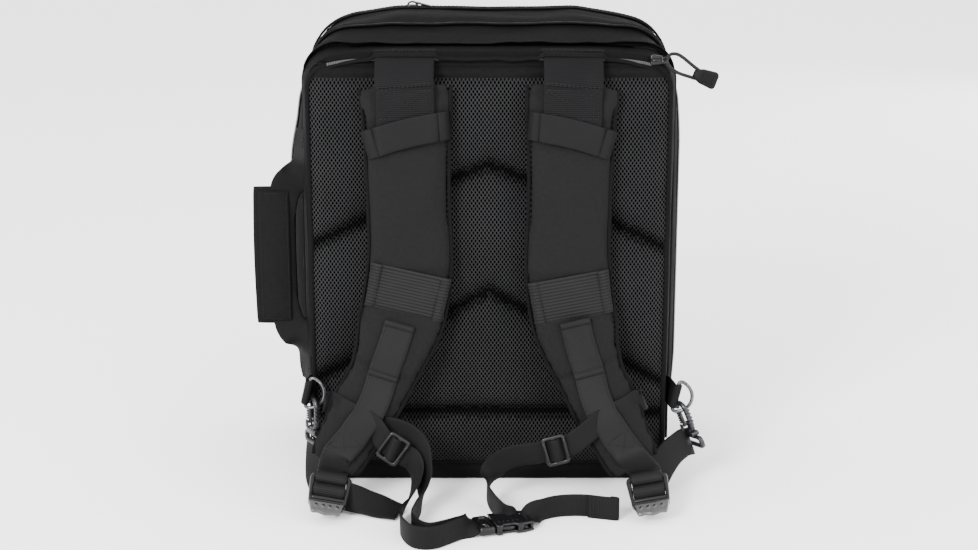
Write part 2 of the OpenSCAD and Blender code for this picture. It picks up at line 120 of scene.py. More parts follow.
# ---------------------------------------------------------------- material graphs

class Graph:
    """A small builder for one node material."""

    def __init__(self, name):
        self.material = bpy.data.materials.new(name)
        self.material.use_nodes = True
        self.tree = self.material.node_tree
        self.shader = self.tree.nodes["Principled BSDF"]

    def node(self, kind, inputs=(), **settings):
        made = self.tree.nodes.new(kind)
        for key, value in settings.items():
            setattr(made, key, value)
        for key, value in dict(inputs).items():
            self.feed(made.inputs[key], value)
        return made

    def feed(self, socket, value):
        if isinstance(value, bpy.types.NodeSocket):
            self.tree.links.new(value, socket)
        elif hasattr(value, "__len__") and len(value) == 3 and socket.type == "RGBA":
            socket.default_value = (*value, 1)
        else:
            socket.default_value = value

    def math(self, operation, a, b=0.0, c=0.0):
        made = self.node("ShaderNodeMath", {0: a, 1: b, 2: c}, operation=operation)
        return made.outputs[0]

    def vector(self, operation, a, b=(0, 0, 0)):
        made = self.node("ShaderNodeVectorMath", {0: a, 1: b}, operation=operation)
        return made.outputs["Value" if operation in ("LENGTH", "DOT_PRODUCT") else "Vector"]

    def mix(self, share, a, b):
        made = self.node("ShaderNodeMix", data_type="RGBA")
        self.feed(made.inputs["Factor"], share)
        self.feed(made.inputs[6], a)
        self.feed(made.inputs[7], b)
        return made.outputs[2]

    def ramp(self, value, low, high, out_low=0.0, out_high=1.0):
        made = self.node("ShaderNodeMapRange", {0: value, 1: low, 2: high, 3: out_low, 4: out_high},
                         interpolation_type="SMOOTHSTEP")
        return made.outputs[0]

    def noise(self, vector, scale, detail=2.0, roughness=0.5):
        made = self.node("ShaderNodeTexNoise", {"Vector": vector, "Scale": scale, "Detail": detail,
                                                "Roughness": roughness})
        return made.outputs[0]

    def uv(self):
        return self.node("ShaderNodeUVMap", uv_map="UVMap").outputs[0]

    def place(self):
        return self.node("ShaderNodeTexCoord").outputs["Object"]

    def split(self, vector):
        made = self.node("ShaderNodeSeparateXYZ", {0: vector})
        return made.outputs[0], made.outputs[1], made.outputs[2]

    def wave(self, value, period):
        """Rounded ribs a period apart, from 0 to 1."""
        return self.math("ABSOLUTE", self.math("SINE", self.math("MULTIPLY", value, math.pi / period)))

    def bump(self, height, depth, strength=1.0):
        made = self.node("ShaderNodeBump", {"Strength": strength, "Distance": depth, "Height": height})
        return made.outputs[0]

    def finish(self, color, roughness, normal=None, metallic=0.0, sheen=0.0, coat=0.0, alpha=1.0,
               specular=0.5):
        for name, value in (("Base Color", color), ("Roughness", roughness), ("Metallic", metallic),
                            ("Sheen Weight", sheen), ("Coat Weight", coat), ("Alpha", alpha),
                            ("Specular IOR Level", specular)):
            self.feed(self.shader.inputs[name], value)
        if normal is not None:
            self.feed(self.shader.inputs["Normal"], normal)
        return self.material


def weave_height(graph, uv, pitch):
    """Height of a plain weave with threads a pitch apart, from 0 to 1."""
    u, v, _ = graph.split(graph.vector("MULTIPLY", uv, (math.pi / pitch,) * 3))
    wave_u, wave_v = graph.math("SINE", u), graph.math("SINE", v)
    over = graph.math("GREATER_THAN", graph.math("MULTIPLY", wave_u, wave_v), 0.0)
    up, down = graph.math("ABSOLUTE", wave_u), graph.math("ABSOLUTE", wave_v)
    return graph.math("ADD", graph.math("MULTIPLY", up, over),
                      graph.math("MULTIPLY", down, graph.math("SUBTRACT", 1.0, over)))


BLACK = 0.18


def scaled(color, share):
    return tuple(share * c for c in color)


def deep(color):
    """A dyed colour at the depth of the photographed black."""
    return scaled(color, BLACK)


CLOTH_ROUGHNESS, CLOTH_DUST = 0.85, 0.12


def cloth_material(name, dark, light, pitch, depth=0.00018, specular=0.026):
    """A woven cloth: threads, slubs, soft wear where it is handled, and faint dust."""
    graph = Graph(name)
    uv, place = graph.uv(), graph.place()
    weave = weave_height(graph, uv, pitch)
    slub = graph.noise(uv, 1 / (pitch * 5), 2.0)
    patch = graph.noise(place, 14, 4.0, 0.6)
    speck = graph.noise(uv, 1 / (pitch * 1.7), 1.0)
    worn = graph.math("MULTIPLY_ADD", slub, 0.35, graph.math("MULTIPLY", patch, 0.3))
    shade = graph.math("MULTIPLY_ADD", weave, 0.45, worn)
    color = graph.mix(graph.ramp(shade, 0.15, 0.95), deep(dark), deep(light))
    lint = graph.ramp(speck, 0.68, 0.8, 0.0, CLOTH_DUST)
    color = graph.mix(lint, color, scaled(deep(light), 2.6))
    normal = graph.bump(graph.math("MULTIPLY_ADD", slub, 0.5, weave), depth, 0.9)
    rough = graph.ramp(patch, 0.3, 0.7, CLOTH_ROUGHNESS - 0.08, CLOTH_ROUGHNESS + 0.06)
    return graph.finish(color, rough, normal, specular=specular)


def webbing_material(name, dark, light, rib=0.0023, thread=0.0009, depth=0.00025, cross=True, specular=0.085):
    """Grosgrain webbing: ribs across it, fine threads along it, slightly polished high spots."""
    graph = Graph(name)
    uv, place = graph.uv(), graph.place()
    u, v, _ = graph.split(uv)
    first, second = (u, v) if cross else (v, u)
    ribs = graph.wave(first, rib)
    row = graph.math("MULTIPLY", graph.math("FLOOR", graph.math("DIVIDE", first, rib)), 0.5 * thread)
    threads = graph.wave(graph.math("ADD", second, row), thread)
    height = graph.math("MULTIPLY_ADD", ribs, 0.7, graph.math("MULTIPLY", threads, 0.35))
    patch = graph.noise(place, 30, 3.0)
    shade = graph.math("MULTIPLY_ADD", patch, 0.4, graph.math("MULTIPLY", height, 0.7))
    color = graph.mix(graph.ramp(shade, 0.1, 0.95), deep(dark), deep(light))
    rough = graph.ramp(height, 0.2, 1.0, 0.74, 0.5)
    return graph.finish(color, rough, graph.bump(height, depth, 0.9), specular=specular)


MESH_HOLE = (0.0033, 0.0047)


def mesh_material(name, share=1.0):
    """Spacer mesh: knitted strands round staggered long holes; a share below 1 makes a darker copy with dimmer
    shine, used as painted shade in and beside the quilted grooves.
    """
    graph = Graph(name)
    uv, place = graph.uv(), graph.place()
    grid = graph.vector("MULTIPLY", uv, (1 / MESH_HOLE[0], 1 / MESH_HOLE[1], 1))
    nearest = []
    for shift in (0.0, 0.5):
        cell = graph.vector("FRACTION", graph.vector("ADD", grid, (shift, shift, 0)))
        flat = graph.vector("MULTIPLY", graph.vector("SUBTRACT", cell, (0.5, 0.5, 0)), (1, 0.92, 0))
        nearest.append(graph.vector("LENGTH", flat))
    distance = graph.math("MINIMUM", nearest[0], nearest[1])
    jitter = graph.math("MULTIPLY_ADD", graph.noise(uv, 700, 1.0), 0.10, -0.05)
    strand = graph.ramp(graph.math("ADD", distance, jitter), 0.17, 0.30)
    knit = weave_height(graph, uv, 0.00055)
    patch = graph.noise(place, 18, 3.0)
    tone = graph.math("MULTIPLY_ADD", knit, 0.35, graph.math("MULTIPLY_ADD", patch, 0.5, 0.1))
    # A share below 1 darkens the strands and dims their shine: painted shade for the groove copies.
    thread = graph.mix(tone, deep(scaled((0.020, 0.020, 0.022), share)),
                       deep(scaled((0.120, 0.120, 0.125), share)))
    color = graph.mix(strand, deep((0.0010, 0.0010, 0.0011)), thread)
    height = graph.math("MULTIPLY_ADD", strand, 1.0, graph.math("MULTIPLY", knit, 0.15))
    normal = graph.bump(height, 0.0011, 1.0)
    rough = graph.ramp(strand, 0.0, 1.0, 0.95, 0.62)
    specular = graph.ramp(strand, 0.0, 1.0, 0.0, 0.066 * share)
    return graph.finish(color, rough, normal, specular=specular)


def plastic_material(name, base, roughness=0.35, grain=0.00004, specular=0.24):
    """Moulded plastic with a fine spark texture, paler rubbed spots and shine."""
    graph = Graph(name)
    place = graph.place()
    spark = graph.noise(place, 2600, 2.0)
    smear = graph.noise(place, 60, 4.0, 0.6)
    scuff = graph.ramp(graph.noise(place, 190, 5.0, 0.7), 0.60, 0.72, 0.0, 0.35)
    base = deep(base)
    color = graph.mix(scuff, base, tuple(2.2 * c + 0.006 for c in base))
    rough = graph.math("ADD", graph.ramp(smear, 0.3, 0.7, roughness - 0.07, roughness + 0.1),
                       graph.math("MULTIPLY", scuff, 0.3))
    return graph.finish(color, rough, graph.bump(spark, grain, 0.6), specular=specular)


def metal_material(name, base, roughness, worn):
    """Black-plated metal, rubbed brighter where it wears."""
    graph = Graph(name)
    place = graph.place()
    wear = graph.ramp(graph.noise(place, 420, 4.0, 0.65), 0.58, 0.72)
    color = graph.mix(wear, base, (worn, worn, 1.03 * worn))
    rough = graph.ramp(graph.noise(place, 90, 3.0), 0.3, 0.7, roughness - 0.08, roughness + 0.12)
    normal = graph.bump(graph.noise(place, 1500, 2.0), 0.00003, 0.5)
    return graph.finish(color, rough, normal, metallic=0.85)


def pile_material(name, base):
    """Brushed loop pile of a hook-and-loop panel."""
    graph = Graph(name)
    place, uv = graph.place(), graph.uv()
    curl = graph.noise(uv, 1600, 5.0, 0.75)
    rows = graph.wave(graph.split(uv)[1], 0.0022)
    height = graph.math("MULTIPLY_ADD", rows, 0.25, curl)
    color = graph.mix(graph.ramp(height, 0.3, 0.9), scaled(deep(base), 0.45), scaled(deep(base), 1.7))
    patch = graph.ramp(graph.noise(place, 25, 3.0), 0.3, 0.7, 0.86, 0.98)
    return graph.finish(color, patch, graph.bump(height, 0.0006, 1.0), sheen=0.1, specular=0.1)


def vinyl_material(name):
    """Clear flexible window film, slightly hazy and rippled."""
    graph = Graph(name)
    place = graph.place()
    ripple = graph.noise(place, 45, 2.0)
    haze = graph.ramp(graph.noise(place, 12, 3.0), 0.3, 0.7, 0.22, 0.34)
    return graph.finish((0.62, 0.65, 0.66), 0.12, graph.bump(ripple, 0.002, 0.5), alpha=haze, coat=0.4)


def make_materials():
    return {
        "pack": cloth_material("pack_cloth", (0.010, 0.010, 0.011), (0.036, 0.036, 0.038), 0.00075),
        "pad": cloth_material("pad_cloth", (0.018, 0.018, 0.019), (0.052, 0.052, 0.054), 0.0006,
                              specular=0.05),
        "lining": cloth_material("lining_cloth", (0.040, 0.042, 0.046), (0.085, 0.088, 0.094),
                                 0.0004, 0.0001),
        "piping": cloth_material("piping_cloth", (0.011, 0.011, 0.012), (0.034, 0.034, 0.036), 0.0005),
        "wrap": cloth_material("wrap_cloth", (0.014, 0.014, 0.015), (0.046, 0.046, 0.048), 0.0007),
        "webbing": webbing_material("webbing", (0.012, 0.012, 0.013), (0.040, 0.040, 0.042),
                                    0.0015, 0.0008, 0.00014, specular=0.07),
        "yoke": webbing_material("yoke_webbing", (0.008, 0.008, 0.009), (0.030, 0.030, 0.032), 0.0016, 0.0008,
                                 specular=0.04),
        "keeper": webbing_material("keeper_webbing", (0.012, 0.012, 0.013), (0.044, 0.044, 0.046),
                                   0.0028, 0.0007, 0.0004, cross=False),
        "elastic": webbing_material("elastic", (0.011, 0.011, 0.012), (0.036, 0.036, 0.038),
                                    0.0010, 0.0007, 0.0002, cross=False, specular=0.05),
        "strap": webbing_material("strap_webbing", (0.010, 0.010, 0.011), (0.034, 0.034, 0.036),
                                  0.0013, 0.0007, specular=0.052),
        "mesh": mesh_material("air_mesh"),
        # Darker copies of the air mesh: painted shade beside the quilted grooves, and deeper painted shade in
        # them.
        "shade": mesh_material("air_mesh_painted_shade", 0.6),
        "painted_groove_shade": mesh_material("air_mesh_painted_groove_shade", 0.25),
        "tape": cloth_material("zipper_tape", (0.012, 0.012, 0.013), (0.030, 0.030, 0.032), 0.0005),
        "teeth": plastic_material("zipper_teeth", (0.200, 0.200, 0.206), 0.45, specular=0.2),
        "thread": cloth_material("thread", (0.036, 0.036, 0.038), (0.110, 0.110, 0.114), 0.0003, 0.0001),
        "plastic": plastic_material("acetal", (0.016, 0.016, 0.018), 0.30),
        "gloss": plastic_material("polished_acetal", (0.030, 0.030, 0.032), 0.16, 0.00002, 1.0),
        "metal": metal_material("dark_metal", (0.030, 0.030, 0.033), 0.33, 0.14),
        "ring": metal_material("ring_metal", (0.070, 0.070, 0.074), 0.26, 0.26),
        "rubber": plastic_material("grip_rubber", (0.016, 0.016, 0.017), 0.62, 0.0001, 0.09),
        "pile": pile_material("loop_pile", (0.018, 0.018, 0.019)),
        "vinyl": vinyl_material("clear_vinyl"),
        "board": plastic_material("stiffener", (0.030, 0.030, 0.032), 0.5, 0.0001),
        "cord": webbing_material("cord_sheath", (0.014, 0.014, 0.015), (0.06, 0.06, 0.062), 0.0011, 0.0008),
    }


# ---------------------------------------------------------------- mesh helpers

def new_piece(name, verts, faces, uvs, material, body, slot, hides=()):
    """A smooth mesh piece with one UV per vertex, riding on a body and standing for CAD nodes."""
    mesh = bpy.data.meshes.new(name)
    mesh.from_pydata([tuple(v) for v in verts], [], faces)
    layer = mesh.uv_layers.new(name="UVMap")
    for loop in mesh.loops:
        layer.data[loop.index].uv = uvs[loop.vertex_index]
    mesh.materials.append(MATERIALS[material])
    mesh.polygons.foreach_set("use_smooth", [True] * len(mesh.polygons))
    mesh.update()
    piece = bpy.data.objects.new(name, mesh)
    bpy.context.scene.collection.objects.link(piece)
    dress(piece, body, hides)
    return piece


def dress(piece, body, hides=()):
    """What a piece rides on (nothing yet if the body is empty), and the CAD nodes it replaces."""
    if body:
        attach(piece, body)
    if hides:
        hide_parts(*hides)


def grid_faces(rows, columns, wrap=False):
    """Quads of a grid of rows by columns, its columns closed into a ring if wrap."""
    last = columns if wrap else columns - 1
    return [(r * columns + c, r * columns + (c + 1) % columns,
             (r + 1) * columns + (c + 1) % columns, (r + 1) * columns + c)
            for r in range(rows - 1) for c in range(last)]


def tube_faces(rows, count, flip=False):
    """Faces of a row of rings with both ends closed, turned over if flip."""
    last = (rows - 1) * count
    faces = grid_faces(rows, count, wrap=True)
    faces += [tuple(reversed(range(count))), tuple(range(last, last + count))]
    return [tuple(reversed(f)) for f in faces] if flip else faces


def between(a, b, c, d, f):
    """A share f of the way from b to c on the smooth curve through all four."""
    return (2 * b + (c - a) * f + (2 * a - 5 * b + 4 * c - d) * f * f
            + (3 * b - a - 3 * c + d) * f * f * f) / 2


def curve(path, steps):
    """A smooth curve through the points of a path, steps between neighbours."""
    made = []
    for i in range(len(path) - 1):
        a, d = path[max(i - 1, 0)], path[min(i + 2, len(path) - 1)]
        made += [between(a, path[i], path[i + 1], d, k / steps) for k in range(steps)]
    return made + [path[-1]]


def path_length(path):
    return sum((b - a).length for a, b in zip(path, path[1:]))


def even(path, gap):
    """The same polyline with its points an even gap apart."""
    lengths = [0.0]
    for a, b in zip(path, path[1:]):
        lengths.append(lengths[-1] + (b - a).length)
    count = max(2, round(lengths[-1] / gap))
    made, i = [], 0
    for k in range(count + 1):
        at = lengths[-1] * k / count
        while i < len(path) - 2 and lengths[i + 1] < at:
            i += 1
        span = lengths[i + 1] - lengths[i]
        made.append(path[i].lerp(path[i + 1], (at - lengths[i]) / span if span else 0))
    return made


def frames(path, hints):
    """Along, across and out directions at each point; hints are where across points."""
    made = []
    for i in range(len(path)):
        t = (path[min(i + 1, len(path) - 1)] - path[max(i - 1, 0)]).normalized()
        hint = hints[i] if isinstance(hints, list) else hints
        s = (hint - hint.dot(t) * t).normalized()
        made.append((t, s, t.cross(s)))
    return made


def front_frames(path, hints):
    """The same, with every out direction turned to the harness side."""
    return [(t, s, n if n.y < 0 else -n) for t, s, n in frames(path, hints)]


def strap_section(width, thick):
    """Cross-section of webbing as (across, out) pairs: flat faces and soft edges."""
    w, t = width / 2, thick / 2
    edge = min(t * 0.9, w * 0.3)
    spread = (-0.97, -0.75, -0.5, -0.25, 0.0, 0.25, 0.5, 0.75, 0.97)
    top = [(-q * (w - edge), t) for q in spread]
    bottom = [(q * (w - edge), -t) for q in spread]
    return [(w - edge * 0.25, t * 0.55)] + top + [(-w + edge * 0.25, t * 0.55), (-w, 0.0)] \
        + [(-w + edge * 0.25, -t * 0.55)] + bottom + [(w - edge * 0.25, -t * 0.55), (w, 0.0)]


def strap_mesh(path, width, thick, hints, widths=None, ripple=0.0):
    """Vertices, faces and UVs of webbing along a path, with closed ends."""
    verts, uvs, run = [], [], 0.0
    for i, (p, (_, s, n)) in enumerate(zip(path, frames(path, hints))):
        if i:
            run += (p - path[i - 1]).length
        for a, b in strap_section(widths[i] if widths else width, thick):
            wave = ripple * noise.noise(Vector((run * 60, a * 40, 3.1)))
            verts.append(p + a * s + (b + wave) * n)
            uvs.append((run, a))
    return verts, tube_faces(len(path), len(verts) // len(path), flip=True), uvs


def strap(name, path, width, thick, hints, material, body, slot, hides=(), gap=0.003, **more):
    """A piece of webbing; its path is evened out unless it has a hint for every point or no gap."""
    if gap and not isinstance(hints, list):
        path = even(path, gap)
    return new_piece(name, *strap_mesh(path, width, thick, hints, **more), material, body, slot, hides)


def tube_mesh(path, radius, sides, hint):
    """Vertices, faces and UVs of a round tube along a path."""
    verts, uvs, run = [], [], 0.0
    for i, (p, (_, s, n)) in enumerate(zip(path, frames(path, hint))):
        if i:
            run += (p - path[i - 1]).length
        r = radius[i] if isinstance(radius, list) else radius
        for k in range(sides):
            a = 2 * math.pi * k / sides
            verts.append(p + r * math.cos(a) * s + r * math.sin(a) * n)
            uvs.append((run, r * a))
    return verts, tube_faces(len(path), sides, flip=True), uvs


def tube(name, path, radius, material, body, slot, hides=()):
    """A cord or binding as a piece of its own."""
    return new_piece(name, *tube_mesh(path, radius, 10, Y), material, body, slot, hides)


def merged(parts):
    """Several (verts, faces, uvs) as one."""
    verts, faces, uvs = [], [], []
    for v, f, u in parts:
        start = len(verts)
        verts += v
        uvs += u
        faces += [tuple(i + start for i in face) for face in f]
    return verts, faces, uvs


def solid_piece(name, parts, material, body, slot, hides=()):
    return new_piece(name, *merged(parts), material, body, slot, hides)


def face_out(piece):
    """Turn every face of a closed piece outward."""
    made = bmesh.new()
    made.from_mesh(piece.data)
    bmesh.ops.recalc_face_normals(made, faces=made.faces)
    made.to_mesh(piece.data)
    made.free()
    return piece


def closed_piece(name, parts, material, body, slot, hides=()):
    """Closed parts as one piece, every face outward."""
    return face_out(solid_piece(name, parts, material, body, slot, hides))


def plate_mesh(outlines, thick, bevel, matrix):
    """A flat plate with round edges; the outlines after the first are holes."""
    data = bpy.data.curves.new("plate", "CURVE")
    data.dimensions = "2D"
    data.fill_mode = "BOTH"
    data.extrude = thick / 2 - bevel
    data.bevel_depth = bevel
    data.bevel_resolution = 2
    data.offset = -bevel
    for outline in outlines:
        spline = data.splines.new("POLY")
        spline.points.add(len(outline) - 1)
        for point, (x, y) in zip(spline.points, outline):
            point.co = (x, y, 0, 1)
        spline.use_cyclic_u = True
    shape = bpy.data.objects.new("plate", data)
    bpy.context.scene.collection.objects.link(shape)
    bpy.context.view_layer.update()
    mesh = bpy.data.meshes.new_from_object(shape)
    verts = [matrix @ v.co for v in mesh.vertices]
    faces = [tuple(p.vertices) for p in mesh.polygons]
    uvs = [(v.co.x, v.co.y) for v in mesh.vertices]
    bpy.data.objects.remove(shape)
    bpy.data.curves.remove(data)
    bpy.data.meshes.remove(mesh)
    return verts, faces, uvs


def rounded_box(width, height, radius, steps=5, at=(0.0, 0.0)):
    """Outline of a rectangle with round corners, anticlockwise."""
    made = []
    for cx, cy, start in ((1, 1, 0), (-1, 1, 90), (-1, -1, 180), (1, -1, 270)):
        for k in range(steps + 1):
            a = math.radians(start + 90 * k / steps)
            made.append((at[0] + cx * (width / 2 - radius) + radius * math.cos(a),
                         at[1] + cy * (height / 2 - radius) + radius * math.sin(a)))
    return made


def block_mesh(place, at, size, radius):
    """A box with rounded edges and corners, given in millimetres in a frame."""
    made = bmesh.new()
    bmesh.ops.create_cube(made, size=1)
    bmesh.ops.scale(made, vec=mm(*size), verts=made.verts)
    bmesh.ops.bevel(made, geom=made.edges[:], offset=radius * MM, segments=2, profile=0.6, affect="EDGES")
    verts = [shifted(place, *at) @ v.co for v in made.verts]
    made.verts.index_update()
    faces = [tuple(v.index for v in f.verts) for f in made.faces]
    uvs = [(v.co.x + v.co.z, v.co.y + v.co.z) for v in made.verts]
    made.free()
    return verts, faces, uvs


def placed(at, turns=()):
    """A matrix at a point, turned by (axis, degrees) pairs, the first applied last."""
    made = Matrix.Translation(at)
    for axis, degrees in turns:
        made = made @ Matrix.Rotation(math.radians(degrees), 4, axis)
    return made


def shifted(place, x, y, z):
    """A frame moved along its own axes, in millimetres."""
    return place @ Matrix.Translation(mm(x, y, z))


# ---------------------------------------------------------------- stitches and zipper teeth

STITCH_LENGTH, STITCH_GAP, STITCH_RADIUS, STITCH_LIFT = 0.0027, 0.0009, 0.00028, 0.0002
STITCH_ROWS = ((0.0, -0.7, 0.6), (0.25, 0.6, 1.0), (0.75, 0.6, 1.0), (1.0, -0.7, 0.6))


def stitch_parts(path, out):
    """Thread stitches along a path: short beads that dive into the cloth at both ends."""
    parts = []
    path = even(path, (STITCH_LENGTH + STITCH_GAP) / 3)
    total = len(path)
    for k in range(0, total - 3, 3):
        t = (path[k + 2] - path[k]).normalized()
        n = out[k * len(out) // total] if isinstance(out, list) else out
        n = (n - n.dot(t) * t).normalized()
        s = t.cross(n)
        verts = []
        for f, rise, r in STITCH_ROWS:
            centre = path[k] + t * (STITCH_LENGTH * f) + n * (STITCH_LIFT + rise * STITCH_RADIUS)
            verts += [centre + STITCH_RADIUS * r * (math.cos(q) * s + math.sin(q) * n)
                      for q in (0.5, 1.57, 2.64, 4.7)]
        parts.append((verts, tube_faces(4, 4, flip=True), [(v.x, v.z) for v in verts]))
    return parts


def stitching(name, rows, body):
    """One piece of thread from (path, out) rows; out is one direction or one for each point."""
    parts = [part for path, out in rows for part in stitch_parts(path, out)]
    return solid_piece(name, parts, "thread", body, "webbing")


TOOTH_PROFILE = ((0.0, 0.62), (0.55, 0.62), (0.62, 1.0), (0.92, 1.0), (1.0, 0.75))
TOOTH_SECTION = ((-0.5, -0.5), (0.5, -0.5), (0.5, 0.4), (0.32, 0.5), (-0.32, 0.5), (-0.5, 0.4))


def tooth_parts(path, out, pitch, size, side):
    """Zipper teeth along a path: blocks with a rounded head that reach over the seam."""
    parts = []
    path = even(path, pitch)
    wide, reach, tall = size
    for k in range(1, len(path) - 1):
        t = (path[k + 1] - path[k - 1]).normalized()
        n = out(path[k]) if callable(out) else out
        n = (n - n.dot(t) * t).normalized()
        s = t.cross(n) * side
        centre = path[k] + t * (pitch * 0.25 * side)
        verts = [centre + s * (0.25 - f) * reach + t * a * wide * g + n * b * tall
                 for f, g in TOOTH_PROFILE for a, b in TOOTH_SECTION]
        parts.append((verts, tube_faces(5, 6), [(v.x, v.z) for v in verts]))
    return parts


# ---------------------------------------------------------------- body outline

REAR_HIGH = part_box("rear_shell")[1]
MID_LOW, MID_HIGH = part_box("mid_shell")
FRONT_LOW, FRONT_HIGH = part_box("front_shell")
HALF = FRONT_HIGH.x
TOP = FRONT_HIGH.z
MAIN_SEAM = (REAR_HIGH.y + MID_LOW.y) / 2
FRONT_SEAM = (MID_HIGH.y + FRONT_LOW.y) / 2
BASE_RADIUS, WALL = 25 * MM, 4
RING_COUNT, SHELL_ENDS = 260, (0.02, 0.25, 0.5, 0.72, 0.88, 0.96)


def smooth_step(f):
    f = max(0.0, min(1.0, f))
    return f * f * (3 - 2 * f)


def rises(value, start, width):
    """0 up to start, 1 from start + width on, smooth between."""
    return smooth_step((value - start) / width)


def fades(value, end, width):
    """1 up to end - width, 0 from end on, smooth between."""
    return smooth_step((end - value) / width)


def slumped(p, share):
    """Where a point of the outline goes as the top corners sag and the sides bulge."""
    x, y, z = p / MM
    fall = rises(abs(x), 78, 62) * rises(z, 300, 70)
    lean = rises(z, 322, 52)
    behind = rises(y, -6, 36)
    out = (6.0 if x < 0 else 3.5) * rises(z, 15, 70) * fades(z, 352, 75) * behind
    if x < 0:
        out += 2.2 * rises(z, 100, 40) * fades(z, 300, 40) * (y < -20)
        out += 4.8 * rises(z, 90, 50) * fades(z, 310, 50) * behind
    out += 2.6 * math.exp(-((y + 10) / 7) ** 2) * fades(z, 350, 30) * rises(z, 15, 30)
    shift = (out - 8.5 * lean * share) * MM * min(1, abs(p.x) / 0.1)
    return Vector((p.x + (shift if p.x > 0 else -shift), p.y, p.z - 7.0 * MM * fall * share))


def wavy(p):
    """Slack along the top seams, so that they don't run dead straight."""
    dip = 1.6 * noise.noise(Vector((p.x * 16, p.y * 30, 7.3)))
    dip += 0.6 * noise.noise(Vector((p.x * 45, p.y * 30, 1.1)))
    return p + Z * dip * MM * rises(p.z / MM, 360, 25)


def settled(path, y, gap):
    """A path round the body, evened out, then sagged and made wavy."""
    share = rises(y / MM, -40, 70)
    return [wavy(slumped(p, share)) for p in even(path, gap)]


def corner(side, x, z, radius, start, steps, y):
    """A quarter circle of an outline, clockwise from an angle in degrees."""
    angles = (math.radians(start - 90 * k / steps) for k in range(steps + 1))
    return [Vector((side * x + radius * math.cos(a), y, z + radius * math.sin(a))) for a in angles]


def outline(inset, drop, lift, top_radius, y):
    """Closed outline of the body at one depth, from the middle of the base to the left."""
    w, top, low = HALF - inset * MM, TOP - drop * MM, lift * MM
    r, b = top_radius * MM, BASE_RADIUS
    made = [Vector((0, y, low))]
    for side, z, radius, start in ((-1, low + b, b, 270), (-1, top - r, r, 180), (1, top - r, r, 90),
                                   (1, low + b, b, 0)):
        made += corner(side, w - radius, z, radius, start, 8, y)
    return settled(made + made[:1], y, 3 * MM)


def ring_around(station):
    """Evenly spaced points of the outline of a station: y, inset, drop, lift, corner radius."""
    y, inset, drop, lift, radius = station
    path = outline(inset, drop, lift, radius, y * MM)
    return even(path, path_length(path) / RING_COUNT)[:RING_COUNT]


def stations_between(stations, steps):
    """The stations with smooth ones between them."""
    made = []
    for i in range(len(stations) - 1):
        rows = stations[max(i - 1, 0)], stations[i], stations[i + 1], stations[min(i + 2, len(stations) - 1)]
        made += [tuple(between(*four, k / steps) for four in zip(*rows)) for k in range(steps)]
    return made + [stations[-1]]


def sag(point, seed, strength=1.0):
    """Soft wrinkles of the outer cloth: how far a point moves in or out."""
    long = noise.noise(Vector((point.x * 9 + seed, point.y * 22, point.z * 9)))
    fine = noise.noise(Vector((point.x * 30, point.y * 70 + seed, point.z * 30)))
    slack = 1 + 0.9 * smooth_step((point.z / MM - 335) / 40)
    return strength * slack * (1.1 * MM * long + 0.35 * MM * fine) - 0.3 * MM


def shrunk(station, amount, y):
    """A station moved in by an amount all round, at another depth."""
    _, inset, drop, lift, radius = station
    return y, inset + amount, drop + amount, lift + amount, max(radius - amount, 4)


def skin_ring(rows, i, middle, seed, strength):
    """One ring of the wrinkled outer skin."""
    ring = ring_around(rows[i])
    ahead, behind = ring_around(rows[min(i + 1, len(rows) - 1)]), ring_around(rows[max(i - 1, 0)])
    fade = min(1, i / 3, (len(rows) - 1 - i) / 3)
    made = []
    for k, p in enumerate(ring):
        t = ring[(k + 1) % RING_COUNT] - ring[k - 1]
        n = t.cross(ahead[k] - behind[k]).normalized()
        if n.dot(p - middle) < 0:
            n = -n
        low = min(1, max(0, (p.z - 2 * MM) / (8 * MM)))
        made.append(p + n * sag(p, seed, strength) * fade * low)
    return made


def lining_rings(rows, middle, mouth):
    """Rings of the rolled rim, the lining and its closed end, each with its run along the cloth."""
    rim, end, made = rows[-1], rows[0], []
    for inward, back in ((0.8, 0.35), (2.0, 0.6), (WALL - 0.8, 0.35), (WALL, -0.6)):
        made.append((ring_around(shrunk(rim, inward, rim[0] + mouth * back)), 1 * MM))
    for station in reversed(rows[1:]):
        made.append((ring_around(shrunk(station, WALL, station[0])), 4 * MM))
    inner = ring_around(shrunk(end, WALL, end[0] + mouth * WALL))
    for f in (1.0, 0.9, 0.6, 0.3, 0.02):
        ring = [middle.lerp(p, f) for p in inner]
        made.append(([Vector((p.x, inner[0].y, p.z)) for p in ring], 30 * MM))
    return made


def shell(name, stations, mouth, body, node, seed, strength=1.0):
    """A fabric tub: wrinkled outer skin, closed end, rolled rim and lining, as one solid."""
    rows = stations_between(stations, 7)[::mouth]
    end = rows[0]
    middle = Vector((0, end[0] * MM, (TOP + end[3] * MM) / 2))
    outline_ring = ring_around(end)
    rings = [([middle.lerp(p, f) - Y * 1.6 * MM * (1 - f ** 4) * mouth for p in outline_ring], 0.0)
             for f in SHELL_ENDS]
    for i, row in enumerate(rows):
        rings.append((skin_ring(rows, i, middle, seed, strength), abs(row[0] - rows[max(i - 1, 0)][0]) * MM))
    lined = RING_COUNT * (len(rings) + 3)
    rings += lining_rings(rows, middle, mouth)
    verts, uvs, run = [], [], 0.0
    for i, (ring, step) in enumerate(rings):
        run += step
        flat = i < len(SHELL_ENDS) or i >= len(rings) - 5
        for k, p in enumerate(ring):
            verts.append(p)
            uvs.append((p.x, p.z) if flat else (k / RING_COUNT * 2 * (HALF + TOP) * 0.96, run))
    faces = grid_faces(len(rings), RING_COUNT, wrap=True)
    faces += [tuple(range(RING_COUNT)), tuple(range(len(verts) - RING_COUNT, len(verts)))]
    piece = new_piece(name, verts, faces, uvs, "pack", body, "pack_cloth", (node,))
    piece.data.materials.append(MATERIALS["lining"])
    for polygon in piece.data.polygons:
        polygon.material_index = int(min(polygon.vertices) >= lined)
    return face_out(piece)


